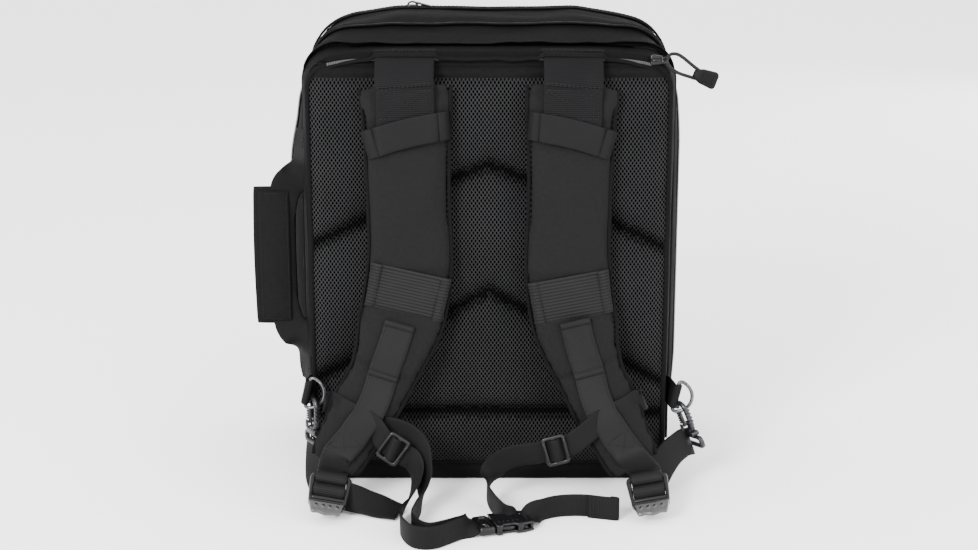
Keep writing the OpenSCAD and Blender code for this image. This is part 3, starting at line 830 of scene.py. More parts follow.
def arch_path(inset, drop, radius, y, low=30):
    """Open path over the body at one depth, up the left side and down the right."""
    w, top, r = HALF - inset * MM, TOP - drop * MM, radius * MM
    made = [Vector((-w, y, low * MM))]
    made += corner(-1, w - r, top - r, r, 180, 12, y) + corner(1, w - r, top - r, r, 90, 12, y)
    return settled(made + [Vector((w, y, low * MM))], y, 2 * MM)


def arch_out(point):
    """Direction away from the middle of the body, seen from behind."""
    core = Vector((max(-HALF + 45 * MM, min(HALF - 45 * MM, point.x)), 0, min(TOP - 45 * MM, point.z)))
    way = Vector((point.x, 0, point.z)) - core
    return way.normalized() if way.length > 1e-6 else Z


REAR_STATIONS = [(-87, 17, 27, 1.6, 20), (-84, 15.5, 24, 0.6, 22), (-60, 10.4, 19, 0.4, 30),
                 (-30, 10, 12, 0.4, 34), (-11.2, 11.5, 7, 0.4, 36)]
MID_STATIONS = [(-8.8, 11, 6.5, 0.4, 36), (-3.5, 10.4, 6, 0.4, 36), (8, 3.5, 2, 0.4, 41),
                (30, 0.6, 0.5, 0.4, 45), (50.8, 0.3, 0.3, 0.4, 45)]
FRONT_STATIONS = [(53.2, 0.3, 0.3, 0.4, 45), (80, 1.5, 2, 0.4, 45), (95, 11, 10, 8, 40)]


def make_shells():
    shell("rear_body", REAR_STATIONS, 1, "pack", "rear_shell", 1.7, 1.3)
    shell("cover_body", MID_STATIONS, -1, "main_cover", "mid_shell", 5.2, 0.9)
    shell("pocket_body", FRONT_STATIONS, -1, "front_flap", "front_shell", 9.4)


def make_zipper(name, path, sides):
    """Tapes, teeth, welts and seam stitches of one opening; sides are (body, node), behind and in front."""
    for side, label, (body, node) in zip((-1, 1), ("rear", "cover"), sides):
        def beside(away, lift):
            return [p + Y * side * away * MM + arch_out(p) * lift * MM for p in path]

        strap(f"{name}_zipper_tape_{label}", beside(2.6, 0.5), 5.0 * MM, 0.9 * MM, Y, "tape", body,
              "zipper_tape", (node,), gap=None)
        edge = [p + Y * side * 0.55 * MM + arch_out(p) * (0.1 + 2.1 * fades(p.z / MM, 348, 20)) * MM
                for p in path]
        parts = tooth_parts(edge, arch_out, 2.2 * MM, (1.3 * MM, 2.3 * MM, 1.7 * MM), side)
        closed_piece(f"{name}_zipper_teeth_{label}", parts, "teeth", body, "zipper_tape")
        tube(f"{name}_welt_{label}", beside(5.6, 0.5), 1.1 * MM, "piping", body, "pack_cloth")
        row = beside(8.6, 0.9)
        stitching(f"{name}_seam_stitches_{label}", [(row, [arch_out(p) for p in row])], body)


def make_piping():
    """Piping round the rear and pocket edges, and the storm flap over the top."""
    tube("rear_piping_cord", arch_path(10.9, 18.2, 31, -60 * MM), 1.7 * MM, "piping", "pack", "webbing",
         ("rear_piping",))
    lip = [p - arch_out(p) * 4 * MM * fades(p.z / MM, 372, 24)
           for p in arch_path(10.4, 16.4, 31, -62 * MM) if p.z > 345 * MM]
    strap("rear_storm_flap", lip, 13 * MM, 1.4 * MM, Vector((0, 1, -0.24)), "pack", "pack", "pack_cloth",
          gap=None, ripple=1.0 * MM)
    edge = [p - Y * 1.6 * MM for p in arch_path(11.6, 10.6, 40, 95 * MM)]
    tube("pocket_piping_cord", edge, 1.7 * MM, "piping", "front_flap", "pack_cloth")


def make_seams():
    make_zipper("main", arch_path(10.7, 6.2, 36, MAIN_SEAM),
                (("pack", "main_zipper_rear_tape"), ("main_cover", "main_zipper_front_tape")))
    make_zipper("front", arch_path(-0.3, -0.3, 45, FRONT_SEAM),
                (("main_cover", "front_zipper_rear_tape"), ("front_flap", "front_zipper_front_tape")))
    make_piping()


# ---------------------------------------------------------------- back panel and rear pocket

PANEL_LOW, PANEL_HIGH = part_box("back_panel")
PANEL_GROOVES = [
    [(-152, 218), (-90, 248), (-31, 277), (0, 288), (31, 277), (90, 246), (152, 215)],
    [(-152, 96), (-95, 126), (-42, 154), (0, 177), (42, 154), (95, 125), (152, 93)],
    [(-152, 66), (0, 67), (152, 65)],
    [(-152, 363), (0, 362), (152, 363)]]
GROOVE_WIDTHS = (9, 9, 8, 4)


def segment_distance(x, z, line):
    """Distance from a place to the nearest point of a polyline."""
    best = 1e9
    for (ax, az), (bx, bz) in zip(line, line[1:]):
        dx, dz = bx - ax, bz - az
        f = max(0, min(1, ((x - ax) * dx + (z - az) * dz) / (dx * dx + dz * dz)))
        best = min(best, math.hypot(x - ax - f * dx, z - az - f * dz))
    return best


def panel_half(z):
    """Half width of the panel at a height, in millimetres, from its corner radii."""
    half, low, high = PANEL_HIGH.x / MM, PANEL_LOW.z / MM, PANEL_HIGH.z / MM
    radius = 20
    rise = min(z - low, high - z)
    cut = radius - math.sqrt(max(0, radius ** 2 - (radius - min(rise, radius)) ** 2))
    return half - cut


def panel_thickness(x, z):
    """How far the panel stands out at a place: soft lobes between quilted grooves."""
    edge = min(panel_half(z) - abs(x), z - PANEL_LOW.z / MM, PANEL_HIGH.z / MM - z)
    soft = 1 - math.exp(-max(edge, 0) / 7)
    for line, width in zip(PANEL_GROOVES, GROOVE_WIDTHS):
        away = segment_distance(x, z, line) / width
        depth = 0.6 if width < 5 else 1.0
        soft *= 1 - depth * (0.72 * math.exp(-away ** 2) + 0.28 * math.exp(-(away / 3.2) ** 2))
    return 1.4 + 10.6 * soft + 0.5 * noise.noise(Vector((x * 0.035, z * 0.035, 2.0)))


PANEL_COLUMNS, PANEL_ROWS = 124, 146
QUILTED_TO = 364.2


def panel_face(raised):
    """Points of the panel's front, or of its flat back, row by row."""
    z_low, z_high = PANEL_LOW.z / MM, PANEL_HIGH.z / MM
    made = []
    for r in range(PANEL_ROWS):
        f = r / (PANEL_ROWS - 1)
        z = z_low + (z_high - z_low) * (f - 0.02 * math.sin(2 * math.pi * f))
        half = panel_half(min(max(z, z_low + 0.01), z_high - 0.01))
        for c in range(PANEL_COLUMNS):
            x = math.sin((c / (PANEL_COLUMNS - 1) - 0.5) * math.pi * 0.94) / math.sin(math.pi * 0.47) * half
            out = -panel_thickness(x, z) if raised else 0.6
            made.append(Vector((x * MM, PANEL_HIGH.y + out * MM, z * MM)))
    return made


def panel_material(x, z):
    """Plain cloth along the top; painted shade on the mesh, darkest in the grooves and less dark beside them;
    plain mesh elsewhere.
    """
    if z > QUILTED_TO:
        return 1
    away = min(segment_distance(x, z, line) for line in PANEL_GROOVES[:3])
    away += 1.2 * noise.noise(Vector((x, z, 5.5)))
    # Slots 3 and 2 are painted shade: darkest in a groove, darker beside it.
    return 3 if away < 2.6 else 2 if away < 6.4 else 0


def make_back_panel():
    """Quilted mesh panel with its binding and the two stitch rows along its top."""
    columns, rows, size = PANEL_COLUMNS, PANEL_ROWS, PANEL_COLUMNS * PANEL_ROWS
    verts = panel_face(False) + panel_face(True)
    grid = grid_faces(rows, columns)
    faces = [tuple(reversed(f)) for f in grid] + [tuple(i + size for i in f) for f in grid]
    rim = list(range(columns)) + [r * columns + columns - 1 for r in range(1, rows)] \
        + [(rows - 1) * columns + c for c in range(columns - 2, -1, -1)] \
        + [r * columns for r in range(rows - 2, 0, -1)]
    faces += [(a, b, b + size, a + size) for a, b in zip(rim, rim[1:] + rim[:1])]
    parts = [(verts, faces, [(v.x, v.z) for v in verts])]
    panel = closed_piece("padded_back_panel", parts, "mesh", "pack", "air_mesh", ("back_panel",))
    # Slots 2 and 3 carry the painted shade along the quilted grooves.
    for material in ("pack", "shade", "painted_groove_shade"):
        panel.data.materials.append(MATERIALS[material])
    for polygon in panel.data.polygons:
        polygon.material_index = panel_material(polygon.center.x / MM, polygon.center.z / MM)
    back = PANEL_HIGH.y
    edge = even([Vector((verts[i].x * 1.006, back - 1.2 * MM, verts[i].z)) for i in rim + rim[:1]], 4 * MM)
    tube("back_panel_binding", edge + edge[1:3], 2.4 * MM, "piping", "pack", "pack_cloth")
    stitches = []
    for shift in (0, 12.5):
        path = even([mm(x * 0.97, 0, z + shift - 0.6) for x, z in PANEL_GROOVES[3]], 3 * MM)
        path = [Vector((p.x, back - panel_thickness(p.x / MM, p.z / MM) * MM, p.z)) for p in path]
        stitches.append((path, -Y))
    stitching("back_panel_stitches", stitches, "pack")


FLAP_PROFILE = [(-61, 387.8), (-70, 385.6), (-79, 383.8), (-86, 382.6), (-92, 381.0), (-94.4, 379.0),
                (-93.8, 377.8), (-91.4, 378.6), (-86, 380.8), (-79, 382.2), (-70, 384.0), (-61, 386.2)]
FLAP_HALF = 149


def make_rear_pocket_zipper():
    low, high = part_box("rear_pocket_zipper")
    y, z, half = -91.2 * MM, (low.z + high.z) / 2, high.x
    line = even([Vector((-half, y, z)), Vector((half, y, z))], 4 * MM)
    bend = [p - Z * 5 * MM * (p.x / half) ** 8 for p in line]
    tape = [strap_mesh([p + mm(0, 1.2, side * 3.6) for p in bend], 6 * MM, 0.9 * MM, Z) for side in (-1, 1)]
    solid_piece("rear_pocket_zipper_tape", tape, "tape", "pack", "zipper_tape", ("rear_pocket_zipper",))
    parts = []
    for side in (-1, 1):
        path = [p + mm(0, 0.4, -side * 0.5) for p in bend]
        parts += tooth_parts(path, -Y, 2.0 * MM, (1.2 * MM, 2.2 * MM, 1.7 * MM), side)
    closed_piece("rear_pocket_zipper_teeth", parts, "teeth", "pack", "zipper_tape")


def flap_section(x):
    """The flap's folded profile at one place: wavy along its front, lifted over the yoke straps."""
    fall = abs(x / FLAP_HALF) ** 7
    over = fades(abs(abs(x) - 71), 30, 5)
    ripple = 1.5 * noise.noise(Vector((x * 0.028, 0, 4.0))) + 0.8 * noise.noise(Vector((x * 0.075, 1, 0)))
    made = []
    for y, z in FLAP_PROFILE:
        front = max(0, min(1, (-70 - y) / 20))
        wave = front * ripple * (1 - 0.7 * over)
        made.append(mm(x * (1 - 0.012 * fall), y + wave * 0.5 + fall * 3 * front - 3.2 * over * front,
                       z + wave - fall * (9 + 5 * front) + 3.4 * over * front))
    return made


def make_rear_pocket_flap():
    """The folded flap that covers the pocket zipper's upper edge, with its two stitch rows."""
    count = len(FLAP_PROFILE)
    span = [p.x / MM for p in even([mm(-FLAP_HALF, 0, 0), mm(FLAP_HALF, 0, 0)], 2.5 * MM)]
    verts = [v for x in span for v in flap_section(x)]
    uvs = [(x * MM, k * 5 * MM) for x in span for k in range(count)]
    parts = [(verts, tube_faces(len(span), count), uvs)]
    closed_piece("rear_pocket_flap", parts, "pack", "pack", "pack_cloth")
    rows = []
    for shift in (4.5, 7.5):
        path = [verts[i * count + 4] + mm(0, shift, 0.55 + shift * 0.23) for i in range(2, len(span) - 2)]
        rows.append((path, Vector((0, -0.3, 1))))
    stitching("rear_pocket_flap_stitches", rows, "pack")


# ---------------------------------------------------------------- shoulder pads

PAD_TOP = [(70.5, -106, 361), (69, -107.5, 322), (68.5, -108.5, 266), (67.5, -109.5, 209)]
PAD_POINTS = {
    -1: PAD_TOP + [(72, -111.5, 172), (77.5, -115, 150), (83, -118.5, 133), (92.5, -123, 109),
                   (110, -133.5, 78), (121, -141, 58), (130, -147, 43), (135, -150, 34)],
    1: PAD_TOP + [(70.5, -111.5, 172), (75, -115, 150), (80, -118.5, 131), (89, -123, 107),
                  (104, -133.5, 77), (114, -141, 57), (122, -147, 42), (127, -150, 33)]}
PAD_WIDTHS = [79, 74, 71, 73, 74, 73, 66, 58, 57, 50, 47, 38]
PAD_THICK = 12


def mirrored(path, side):
    """A path made for the right side, mirrored to the left if side is -1."""
    return [Vector((p.x * side, p.y, p.z)) for p in path]


class PadLine:
    """Centre line of one shoulder pad with its directions and widths."""

    def __init__(self, side):
        line = curve(points(PAD_POINTS[side]), 12)
        widths = curve([Vector((w, 0, 0)) for w in PAD_WIDTHS], 12)
        path = even(line, 4 * MM)
        nearest = [min(range(len(line)), key=lambda i: (line[i] - p).length) for p in path]
        self.widths = [widths[i].x * MM for i in nearest]
        self.path = mirrored(path, side)
        self.frames = front_frames(self.path, X)
        self.runs = [0.0]
        for a, b in zip(self.path, self.path[1:]):
            self.runs.append(self.runs[-1] + (b - a).length)

    def nearest(self, point):
        return min(range(len(self.path)), key=lambda i: (self.path[i] - point).length)

    def index_at(self, z):
        return min(range(len(self.path)), key=lambda i: abs(self.path[i].z - z * MM))

    def on(self, z, across, lift):
        """A point on the pad's front, at a height and a distance across, in millimetres."""
        i = self.index_at(z)
        _, s, n = self.frames[i]
        q = min(1, abs(across * MM) / (self.widths[i] / 2))
        crown = PAD_THICK / 2 * MM * (1 - 0.55 * q ** 4)
        return self.path[i] + s * across * MM + n * (crown + lift * MM)


PAD_SIDES = 28


def rounded(angle, power_x, power_y):
    """A point of a unit superellipse: small powers make it boxy."""
    c, s = math.cos(angle), math.sin(angle)
    return math.copysign(abs(c) ** power_x, c), math.copysign(abs(s) ** power_y, s)


def pad_base(line):
    """A slightly thin closed form of the pad, ready to be blown up."""
    verts, uvs = [], []
    last = len(line.path) - 1
    for i, (p, (_, s, n)) in enumerate(zip(line.path, line.frames)):
        tuck = math.sqrt(max(0.04, min(1, min(i, last - i) / 3)))
        half = line.widths[i] / 2 * (0.95 + 0.05 * tuck) + 0.6 * MM
        for k in range(PAD_SIDES):
            x, y = rounded(2 * math.pi * k / PAD_SIDES, 0.75, 0.45)
            across, out = x * half, y * (PAD_THICK / 2 - 1.5) * MM * (0.55 + 0.45 * tuck)
            verts.append(p + s * across + n * out)
            uvs.append((line.runs[i], across))
    return verts, tube_faces(last + 1, PAD_SIDES), uvs


def evaluated_mesh(piece):
    """The mesh that a piece's modifiers make."""
    graph = bpy.context.evaluated_depsgraph_get()
    return bpy.data.meshes.new_from_object(piece.evaluated_get(graph))


def swell(piece, pressure, cap):
    """Blow a closed mesh up as filled cloth; no point moves further than the cap."""
    start = [v.co.copy() for v in piece.data.vertices]
    cloth = piece.modifiers.new("cloth", "CLOTH")
    cloth.settings.use_pressure = True
    cloth.settings.uniform_pressure_force = pressure
    cloth.settings.tension_stiffness = 25
    cloth.settings.effector_weights.gravity = 0
    scene = bpy.context.scene
    for frame_number in range(1, 21):
        scene.frame_set(frame_number)
    swollen = evaluated_mesh(piece)
    piece.modifiers.clear()
    scene.frame_set(1)
    for v, was, now in zip(piece.data.vertices, start, swollen.vertices):
        move = now.co - was
        if move.length > cap:
            move *= cap / move.length
        v.co = was + move


def inflate(piece, voxel, pressure, cap):
    """Remesh a closed form, swell it, subdivide it once and keep the result."""
    remesh = piece.modifiers.new("remesh", "REMESH")
    remesh.mode = "VOXEL"
    remesh.voxel_size = voxel
    piece.data = evaluated_mesh(piece)
    piece.modifiers.clear()
    swell(piece, pressure, cap)
    subdivide = piece.modifiers.new("subdivide", "SUBSURF")
    subdivide.levels = subdivide.render_levels = 1
    piece.data = evaluated_mesh(piece)
    piece.modifiers.clear()


def squeeze(z, at, half):
    """1 in the middle of a band round a height, 0 away from it, soft at its edges."""
    return max(0.0, min(1.0, (half + 5 - abs(z - at)) / 7))


QUILT_HEIGHT = 114


def pad_shift(line, i, v, along, across, out, side, wide_z):
    """How far a point of a pad moves out, in millimetres: pinched, quilted and puckered at its edge."""
    z, run = v.z / MM, line.runs[i]
    front = 1 if out > 0 else 0.3
    pinch = 2.1 * squeeze(z, 318, 12) + 2.2 * squeeze(z, wide_z, 20)
    quilt = 2.0 * math.exp(-((run + along - line.runs[line.index_at(QUILT_HEIGHT)]) / (2.6 * MM)) ** 2)
    top = 1.2 * math.exp(-((z - 352) / 3) ** 2)
    edge = max(0.0, 1 - (line.widths[i] / 2 - abs(across)) / (7 * MM))
    pucker = 0.5 * edge * math.sin(run / MM * 0.9) * noise.noise(Vector((run * 40, side, 0)))
    ripple = 0.7 * noise.noise(Vector((v.x * 26, v.z * 34, side * 3.0)))
    return ripple + pucker - math.copysign(front * (pinch + quilt + top), out)


def make_pad_bindings(line, side, name):
    for edge_side in (-1, 1):
        path = [line.path[i] + line.frames[i][1] * edge_side * (line.widths[i] / 2 - 0.9 * MM)
                for i in range(1, len(line.path) - 1)]
        label = "inner" if edge_side * side < 0 else "outer"
        tube(f"{name}_binding_{label}", path, 1.7 * MM, "piping", "pack", "pack_cloth")


def make_pad(line, side, label, wide_z):
    """A filled shoulder pad with its bindings."""
    name = f"shoulder_pad_cushion_{label}"
    pad = new_piece(name, *pad_base(line), "pad", "", "pad_cloth")
    inflate(pad, 4.5 * MM, 4, 1.8 * MM)
    coords = []
    for v in pad.data.vertices:
        i = line.nearest(v.co)
        away = v.co - line.path[i]
        along, across, out = (away.dot(axis) for axis in line.frames[i])
        v.co += line.frames[i][2] * pad_shift(line, i, v.co, along, across, out, side, wide_z) * MM
        coords.append((line.runs[i] + along, across))
    layers = pad.data.uv_layers
    layer = layers[0] if layers else layers.new(name="UVMap")
    for loop in pad.data.loops:
        layer.data[loop.index].uv = coords[loop.vertex_index]
    pad.data.polygons.foreach_set("use_smooth", [True] * len(pad.data.polygons))
    if not pad.data.materials:
        pad.data.materials.append(MATERIALS["pad"])
    dress(pad, "pack", (f"shoulder_pad_{label}",))
    make_pad_bindings(line, side, name)
    return pad


def surface_of(piece):
    """A tree that answers where a piece's surface is."""
    faces = [tuple(p.vertices) for p in piece.data.polygons]
    return BVHTree.FromPolygons([v.co.copy() for v in piece.data.vertices], faces)


def laid_on(tree, path, lift):
    """A path dropped along +Y onto the front of a surface, kept a little above it."""
    made = []
    for p in path:
        hit, _, _, _ = tree.ray_cast(Vector((p.x, p.y - 60 * MM, p.z)), Y)
        made.append(Vector((p.x, hit.y - lift, p.z)) if hit else p.copy())
    return made


def smoothed(path):
    """A path with its inner points averaged with their neighbours."""
    inner = [(a + b * 2 + c) / 4 for a, b, c in zip(path, path[1:], path[2:])]
    return [path[0]] + inner + [path[-1]]


def band_front(line, z, tilt, lift, arch, reach, rise=0.0):
    """A path across the front of a pad at one height, its ends sewn down; rise clears what lies under it."""
    i = line.index_at(z)
    _, s, n = line.frames[i]
    half = line.widths[i] / 2
    made = []
    for k in range(25):
        q = reach[0] + (reach[1] - reach[0]) * k / 24
        out = lift + 4.6 - 2.2 * abs(q) ** 5 + rise * fades(abs(q), 0.80, 0.12) - (k in (0, 24))
        made.append(line.path[i] + s * q * half + n * out * MM + Z * (tilt * q + arch * (1 - q * q)) * MM)
    return smoothed(made)


def make_keepers(line, side, label, wide_z):
    """The narrow elastic keeper and the wide ribbed one: bands, stitches and folded ends."""
    upper = band_front(line, 318, -8.5 * side, 0.6, 3.0, (-0.97, 0.97), 4.4)
    wide = band_front(line, wide_z, 2.5 * side, 0.8, 0.0, (-0.90, 0.93))
    strap(f"upper_keeper_band_{label}", curve(upper, 3), 25 * MM, 1.5 * MM, Z, "elastic", "pack", "elastic",
          (f"upper_keeper_{label}",), gap=None, ripple=0.5 * MM)
    strap(f"wide_keeper_band_{label}", curve(wide, 3), 39 * MM, 1.7 * MM, Z, "keeper", "pack", "webbing",
          (f"wide_keeper_{label}",), gap=None, ripple=0.35 * MM)
    rows = []
    for width, band in ((25, upper), (39, wide)):
        for at in (1, 2, -3, -2):
            rows.append(([band[at] + mm(0, -1, k / 10 * (width / 2 - 1.4)) for k in range(-10, 11)], -Y))
    for sign in (-1, 1):
        rows.append(([p + mm(0, -1, sign * 18.2) for p in wide[2:-2]], -Y))
    stitching(f"keeper_stitches_{label}", rows, "pack")
    for name, band, width, material in (("upper", upper, 24.6, "elastic"), ("wide", wide, 38.6, "keeper")):
        parts = []
        for a, b in ((band[0], band[3]), (band[-4], band[-1])):
            path = [p + mm(0, -1.3, 0) for p in (a, a.lerp(b, 0.5), b)]
            parts.append(strap_mesh(path, width * MM, 1.2 * MM, Z))
        solid_piece(f"{name}_keeper_fold_{label}", parts, material, "pack", "webbing")


YOKE_POINTS = [(71, -86, 383.0), (71, -92, 382.4), (71, -97.5, 379.8), (71, -103, 373.6),
               (71, -108.5, 366.5), (70.5, -112.6, 358), (70, -113.6, 346), (70, -113.4, 333),
               (69.5, -112.8, 322), (69, -112.4, 314)]


def xbox(centre, right, up, width, height, out):
    """The stitch rows of a box with a cross in it, in millimetres."""
    a, b, c, d = (centre + right * sx * width / 2 * MM + up * sz * height / 2 * MM
                  for sx, sz in ((-1, -1), (1, -1), (1, 1), (-1, 1)))
    return [([p, q], out) for p, q in ((a, b), (b, c), (c, d), (d, a), (a, c), (b, d))]


def make_yoke(side, label):
    """The wide strap from the shell down onto the pad, its sewn-on patch and the box stitch."""
    path = mirrored(curve(points(YOKE_POINTS), 6), side)
    strap(f"yoke_strap_{label}", path, 50 * MM, 1.8 * MM, X, "yoke", "pack", "webbing",
          (f"yoke_webbing_{label}",), ripple=0.5 * MM)
    patch = mirrored(curve([mm(x, y - 1.9, z) for x, y, z in YOKE_POINTS[5:9]], 6), side)
    strap(f"yoke_patch_{label}", patch, 49 * MM, 1.6 * MM, X, "yoke", "pack", "webbing", ripple=0.3 * MM)
    rows = xbox(mm(70 * side, -116.5, 344), X, Z, 43, 24, -Y)
    for shift in (0.0, 1.3):
        rows.append(([mm(71 * side + x, -114.6 - 0.25 * shift, 360 - shift - x * side * 0.1)
                      for x in (-23, 0, 23)], Vector((0, -0.9, 0.4))))
    stitching(f"yoke_stitches_{label}", rows, "pack")


LOAD_ROWS = ((155, 0, 1.8), (147, 0, 1.8), (138, 0, 1.8), (128, 0, 1.8), (117, 0, 1.6), (108, 1.5, 1.8),
             (97, 4, 2.6), (88, 5.5, 3.6), (78, 6, 3.8), (69, 4.5, 3.4), (60, 3, 2.2), (50, 0.5, 1.6),
             (43, -1, 1.6))
LOAD_TURN = ((9, -2.6), (4, -3.4), (-0.4, -3.6), (-3.8, -2.6), (-4.4, 0.2), (-3.0, 3.2), (0.4, 4.2),
             (4.2, 3.4), (6.5, 0.6))


def lock_frame(side):
    return placed(mm(135 * side, -159, 28), (("Z", 7 * side), ("X", 36), ("Y", -13 * side)))


def make_load_webbing(line, side, label):
    """Webbing from under the wide keeper, down the pad and round the first bar of the lock."""
    place = lock_frame(side)
    path = [line.on(z, -side * across, lift) for z, across, lift in LOAD_ROWS]
    path += [place @ mm(0, y, z) for y, z in LOAD_TURN]
    path = even(curve(path, 6), 2.5 * MM)
    bar = place.to_3x3() @ X
    hints = [X.lerp(bar, min(1, k / len(path) * 1.2)) for k in range(len(path))]
    strap(f"load_strap_{label}", path, 26.5 * MM, 1.8 * MM, hints, "webbing", "pack", "webbing",
          (f"load_webbing_{label}",), ripple=0.3 * MM)
    directions = front_frames(path, hints)

    def on_strap(k, across):
        return path[k] + directions[k][1] * across * MM + directions[k][2] * 1.1 * MM

    def nearest(z):
        return min(range(len(path)), key=lambda k: abs(path[k].z - z * MM))

    box, seam = nearest(55), nearest(115)
    along, right, out = directions[box]
    rows = xbox(on_strap(box, 0), right, along, 22, 20, out)
    for across in (-11.6, 11.6):
        rows.append(([on_strap(k, across) for k in range(2, box + 6)], out))
    for k in (1, 2, seam, seam + 1):
        rows.append(([on_strap(k, across) for across in (-12, 0, 12)], directions[k][2]))
    stitching(f"load_strap_stitches_{label}", rows, "pack")
    folds = [strap_mesh([path[j] + directions[j][2] * 1.5 * MM for j in range(k, k + 3)], 26 * MM, 1.3 * MM,
                        hints[k]) for k in (0, seam)]
    solid_piece(f"load_strap_folds_{label}", folds, "webbing", "pack", "webbing")


# ---------------------------------------------------------------- moulded and metal hardware

LOCK_BARS = ((0, 2.1), (-11, 1.9), (-20.5, 2.3))
RIB_RADII = (2.2, 3.1, 3.5, 3.3, 2.6, 1.6)
LOOP_ROWS = ((-29, -3.4), (-24, -3.6), (-18, -2.4), (-15, 1.0), (-11, 3.3), (-7.2, 1.4), (-5.8, -2.2),
             (-6.5, -4.6))


def make_lock_frame(place, label):
    """The tapered frame of a ladder lock and its three round bars."""
    outer = [(x * (1 - 0.10 * smooth_step((-y / MM - 2) / 26)), y)
             for x, y in rounded_box(36 * MM, 32 * MM, 4.5 * MM, at=(0, -13 * MM))]
    hole = rounded_box(27.4 * MM, 21.5 * MM, 2 * MM, at=(0, -11 * MM))
    parts = [plate_mesh([outer, hole], 5 * MM, 1.5 * MM, place)]
    for y, radius in LOCK_BARS:
        path = [place @ mm(x, y, 0.3 * math.cos(x / 9)) for x in range(-15, 16, 3)]
        parts.append(tube_mesh(path, radius * MM, 14, Z))
    closed_piece(f"ladder_lock_frame_{label}", parts, "plastic", f"ladder_lock_{label}", "acetal",
                 (f"ladder_lock_{label}",))


def make_lock_tab(place, label):
    """The scalloped thumb tab with its four ribs."""
    half = 13
    edge = [(-math.cos(a) * half * MM, (-37 - 2.2 * math.sin(a) + 0.7 * math.cos(a * 6)) * MM)
            for a in (math.pi * k / 12 for k in range(13))]
    edge = [(-(half + 3) * MM, -27 * MM)] + edge + [((half + 3) * MM, -27 * MM)]
    lift = shifted(place, 0, 0, 0.8) @ Matrix.Rotation(math.radians(-8), 4, "X")
    parts = [plate_mesh([edge], 3.6 * MM, 1.2 * MM, lift)]
    for x in (-8.4, -2.8, 2.8, 8.4):
        path = [lift @ mm(x + 0.35 * math.copysign(k, x) * (abs(x) > 5), -28.6 - 1.7 * k, -1.1)
                for k in range(6)]
        parts.append(tube_mesh(path, [r * MM for r in RIB_RADII], 12, X))
    closed_piece(f"ladder_lock_tab_{label}", parts, "gloss", f"ladder_lock_{label}", "acetal")


def make_ladder_lock(side, label):
    place = lock_frame(side)
    make_lock_frame(place, label)
    make_lock_tab(place, label)
    ribbon = [place @ mm(0, y, z) for y, z in LOOP_ROWS]
    strap(f"adjuster_loop_{label}", curve(ribbon, 6), 27.0 * MM, 1.7 * MM, place.to_3x3() @ X, "webbing",
          f"ladder_lock_{label}", "webbing", gap=0.0012)


GLIDES = {"left": ((-82, -153.5, 54), 35), "right": ((57, -154, 53), -15)}


def make_tri_glide(label):
    """A glide's frame with two slots, and a raised rib along each end."""
    at, turn = GLIDES[label]
    body = f"tri_glide_{label}"
    place = shifted(placed(mm(*at), (("Y", turn), ("X", 90))), 0, 0, 1.6)
    outer = rounded_box(20.5 * MM, 26.5 * MM, 3.2 * MM)
    holes = [rounded_box(5.2 * MM, 20.6 * MM, 1.2 * MM, 3, (side * 4.6 * MM, 0)) for side in (-1, 1)]
    parts = [plate_mesh([outer] + holes, 3.2 * MM, 1.1 * MM, place)]
    for x in (-9.0, 9.0):
        parts.append(tube_mesh([place @ mm(x, y, 1.3) for y in range(-9, 10, 3)], 0.7 * MM, 8, Z))
    closed_piece(f"tri_glide_frame_{label}", parts, "plastic", body, "acetal", (body,))


def glide_weave(label):
    """Points where a strap passes over the middle bar of its glide."""
    at, turn = GLIDES[label]
    way = Vector((math.cos(math.radians(turn)), 0, -math.sin(math.radians(turn))))
    rows = ((-9, 1.6), (-5.2, -0.2), (-2.6, -3.6), (0, -4.3), (2.6, -3.6), (5.2, -0.2), (9, 1.6), (13, 1.4))
    return [mm(*at) + way * s * MM + Y * y * MM for s, y in rows]


BUCKLE_AT, BUCKLE_TURN, BUCKLE_HALF = (14, -201, 5.2), 18, 14
BUCKLE_EDGE = ((-12, 0), (-7, 0), (-5.5, 2.6), (4, 2.6), (6, 0), (12, 0), (21, 2))
PRONG = ((-2, 8.4), (3, 8.8), (9, 9.6), (13, 10.2), (16.5, 9.2), (18, 7.6))


def make_buckle_socket(place):
    """Two shells joined by posts, with a bar for the webbing and grip ribs on top."""
    edge = [(x * MM, -(BUCKLE_HALF - inset) * MM) for x, inset in BUCKLE_EDGE]
    slot = rounded_box(4 * MM, 20.6 * MM, 1.2 * MM, 3, (16 * MM, 0))
    parts = [plate_mesh([edge + [(x, -y) for x, y in reversed(edge)], slot], 2.4 * MM, 0.9 * MM,
                        shifted(place, 0, 0, z)) for z in (-3.3, 3.3)]
    for y in (1.8 - BUCKLE_HALF, BUCKLE_HALF - 1.8):
        for x in (-9.6, 9):
            parts.append(block_mesh(place, (x, y, 0), (4.8, 3.0, 5.0), 0.8))
    parts.append(block_mesh(place, (11.6, 0, 0), (4, 22, 5), 0.9))
    parts.append(block_mesh(place, (19.6, 0, 0), (2.6, 23, 5.6), 0.9))
    for x in (-8, -4, 0, 4, 8):
        path = [place @ mm(x, y, 4.5 - 0.004 * y * y) for y in range(-7, 8, 2)]
        parts.append(tube_mesh(path, 0.5 * MM, 6, Z))
    closed_piece("buckle_socket_shell", parts, "plastic", "pack", "acetal", ("buckle_socket",))


def make_buckle_plug(place):
    """The plug: its webbing slot, centre tongue and two prongs."""
    head = rounded_box(14.4 * MM, 28 * MM, 3 * MM, 4, (-7.8 * MM, 0))
    hole = rounded_box(5 * MM, 20.6 * MM, 1.2 * MM, 3, (-6.6 * MM, 0))
    parts = [plate_mesh([head, hole], 7.6 * MM, 2.2 * MM, place)]
    parts.append(block_mesh(place, (8.6, 0, 0), (19, 4, 3.6), 1.0))
    for side in (-1, 1):
        path = curve([place @ mm(x, side * y, 0) for x, y in PRONG], 4)
        parts.append(tube_mesh(path, 1.9 * MM, 10, Z))
    closed_piece("buckle_plug_fork", parts, "plastic", "buckle_plug", "acetal", ("buckle_plug",))


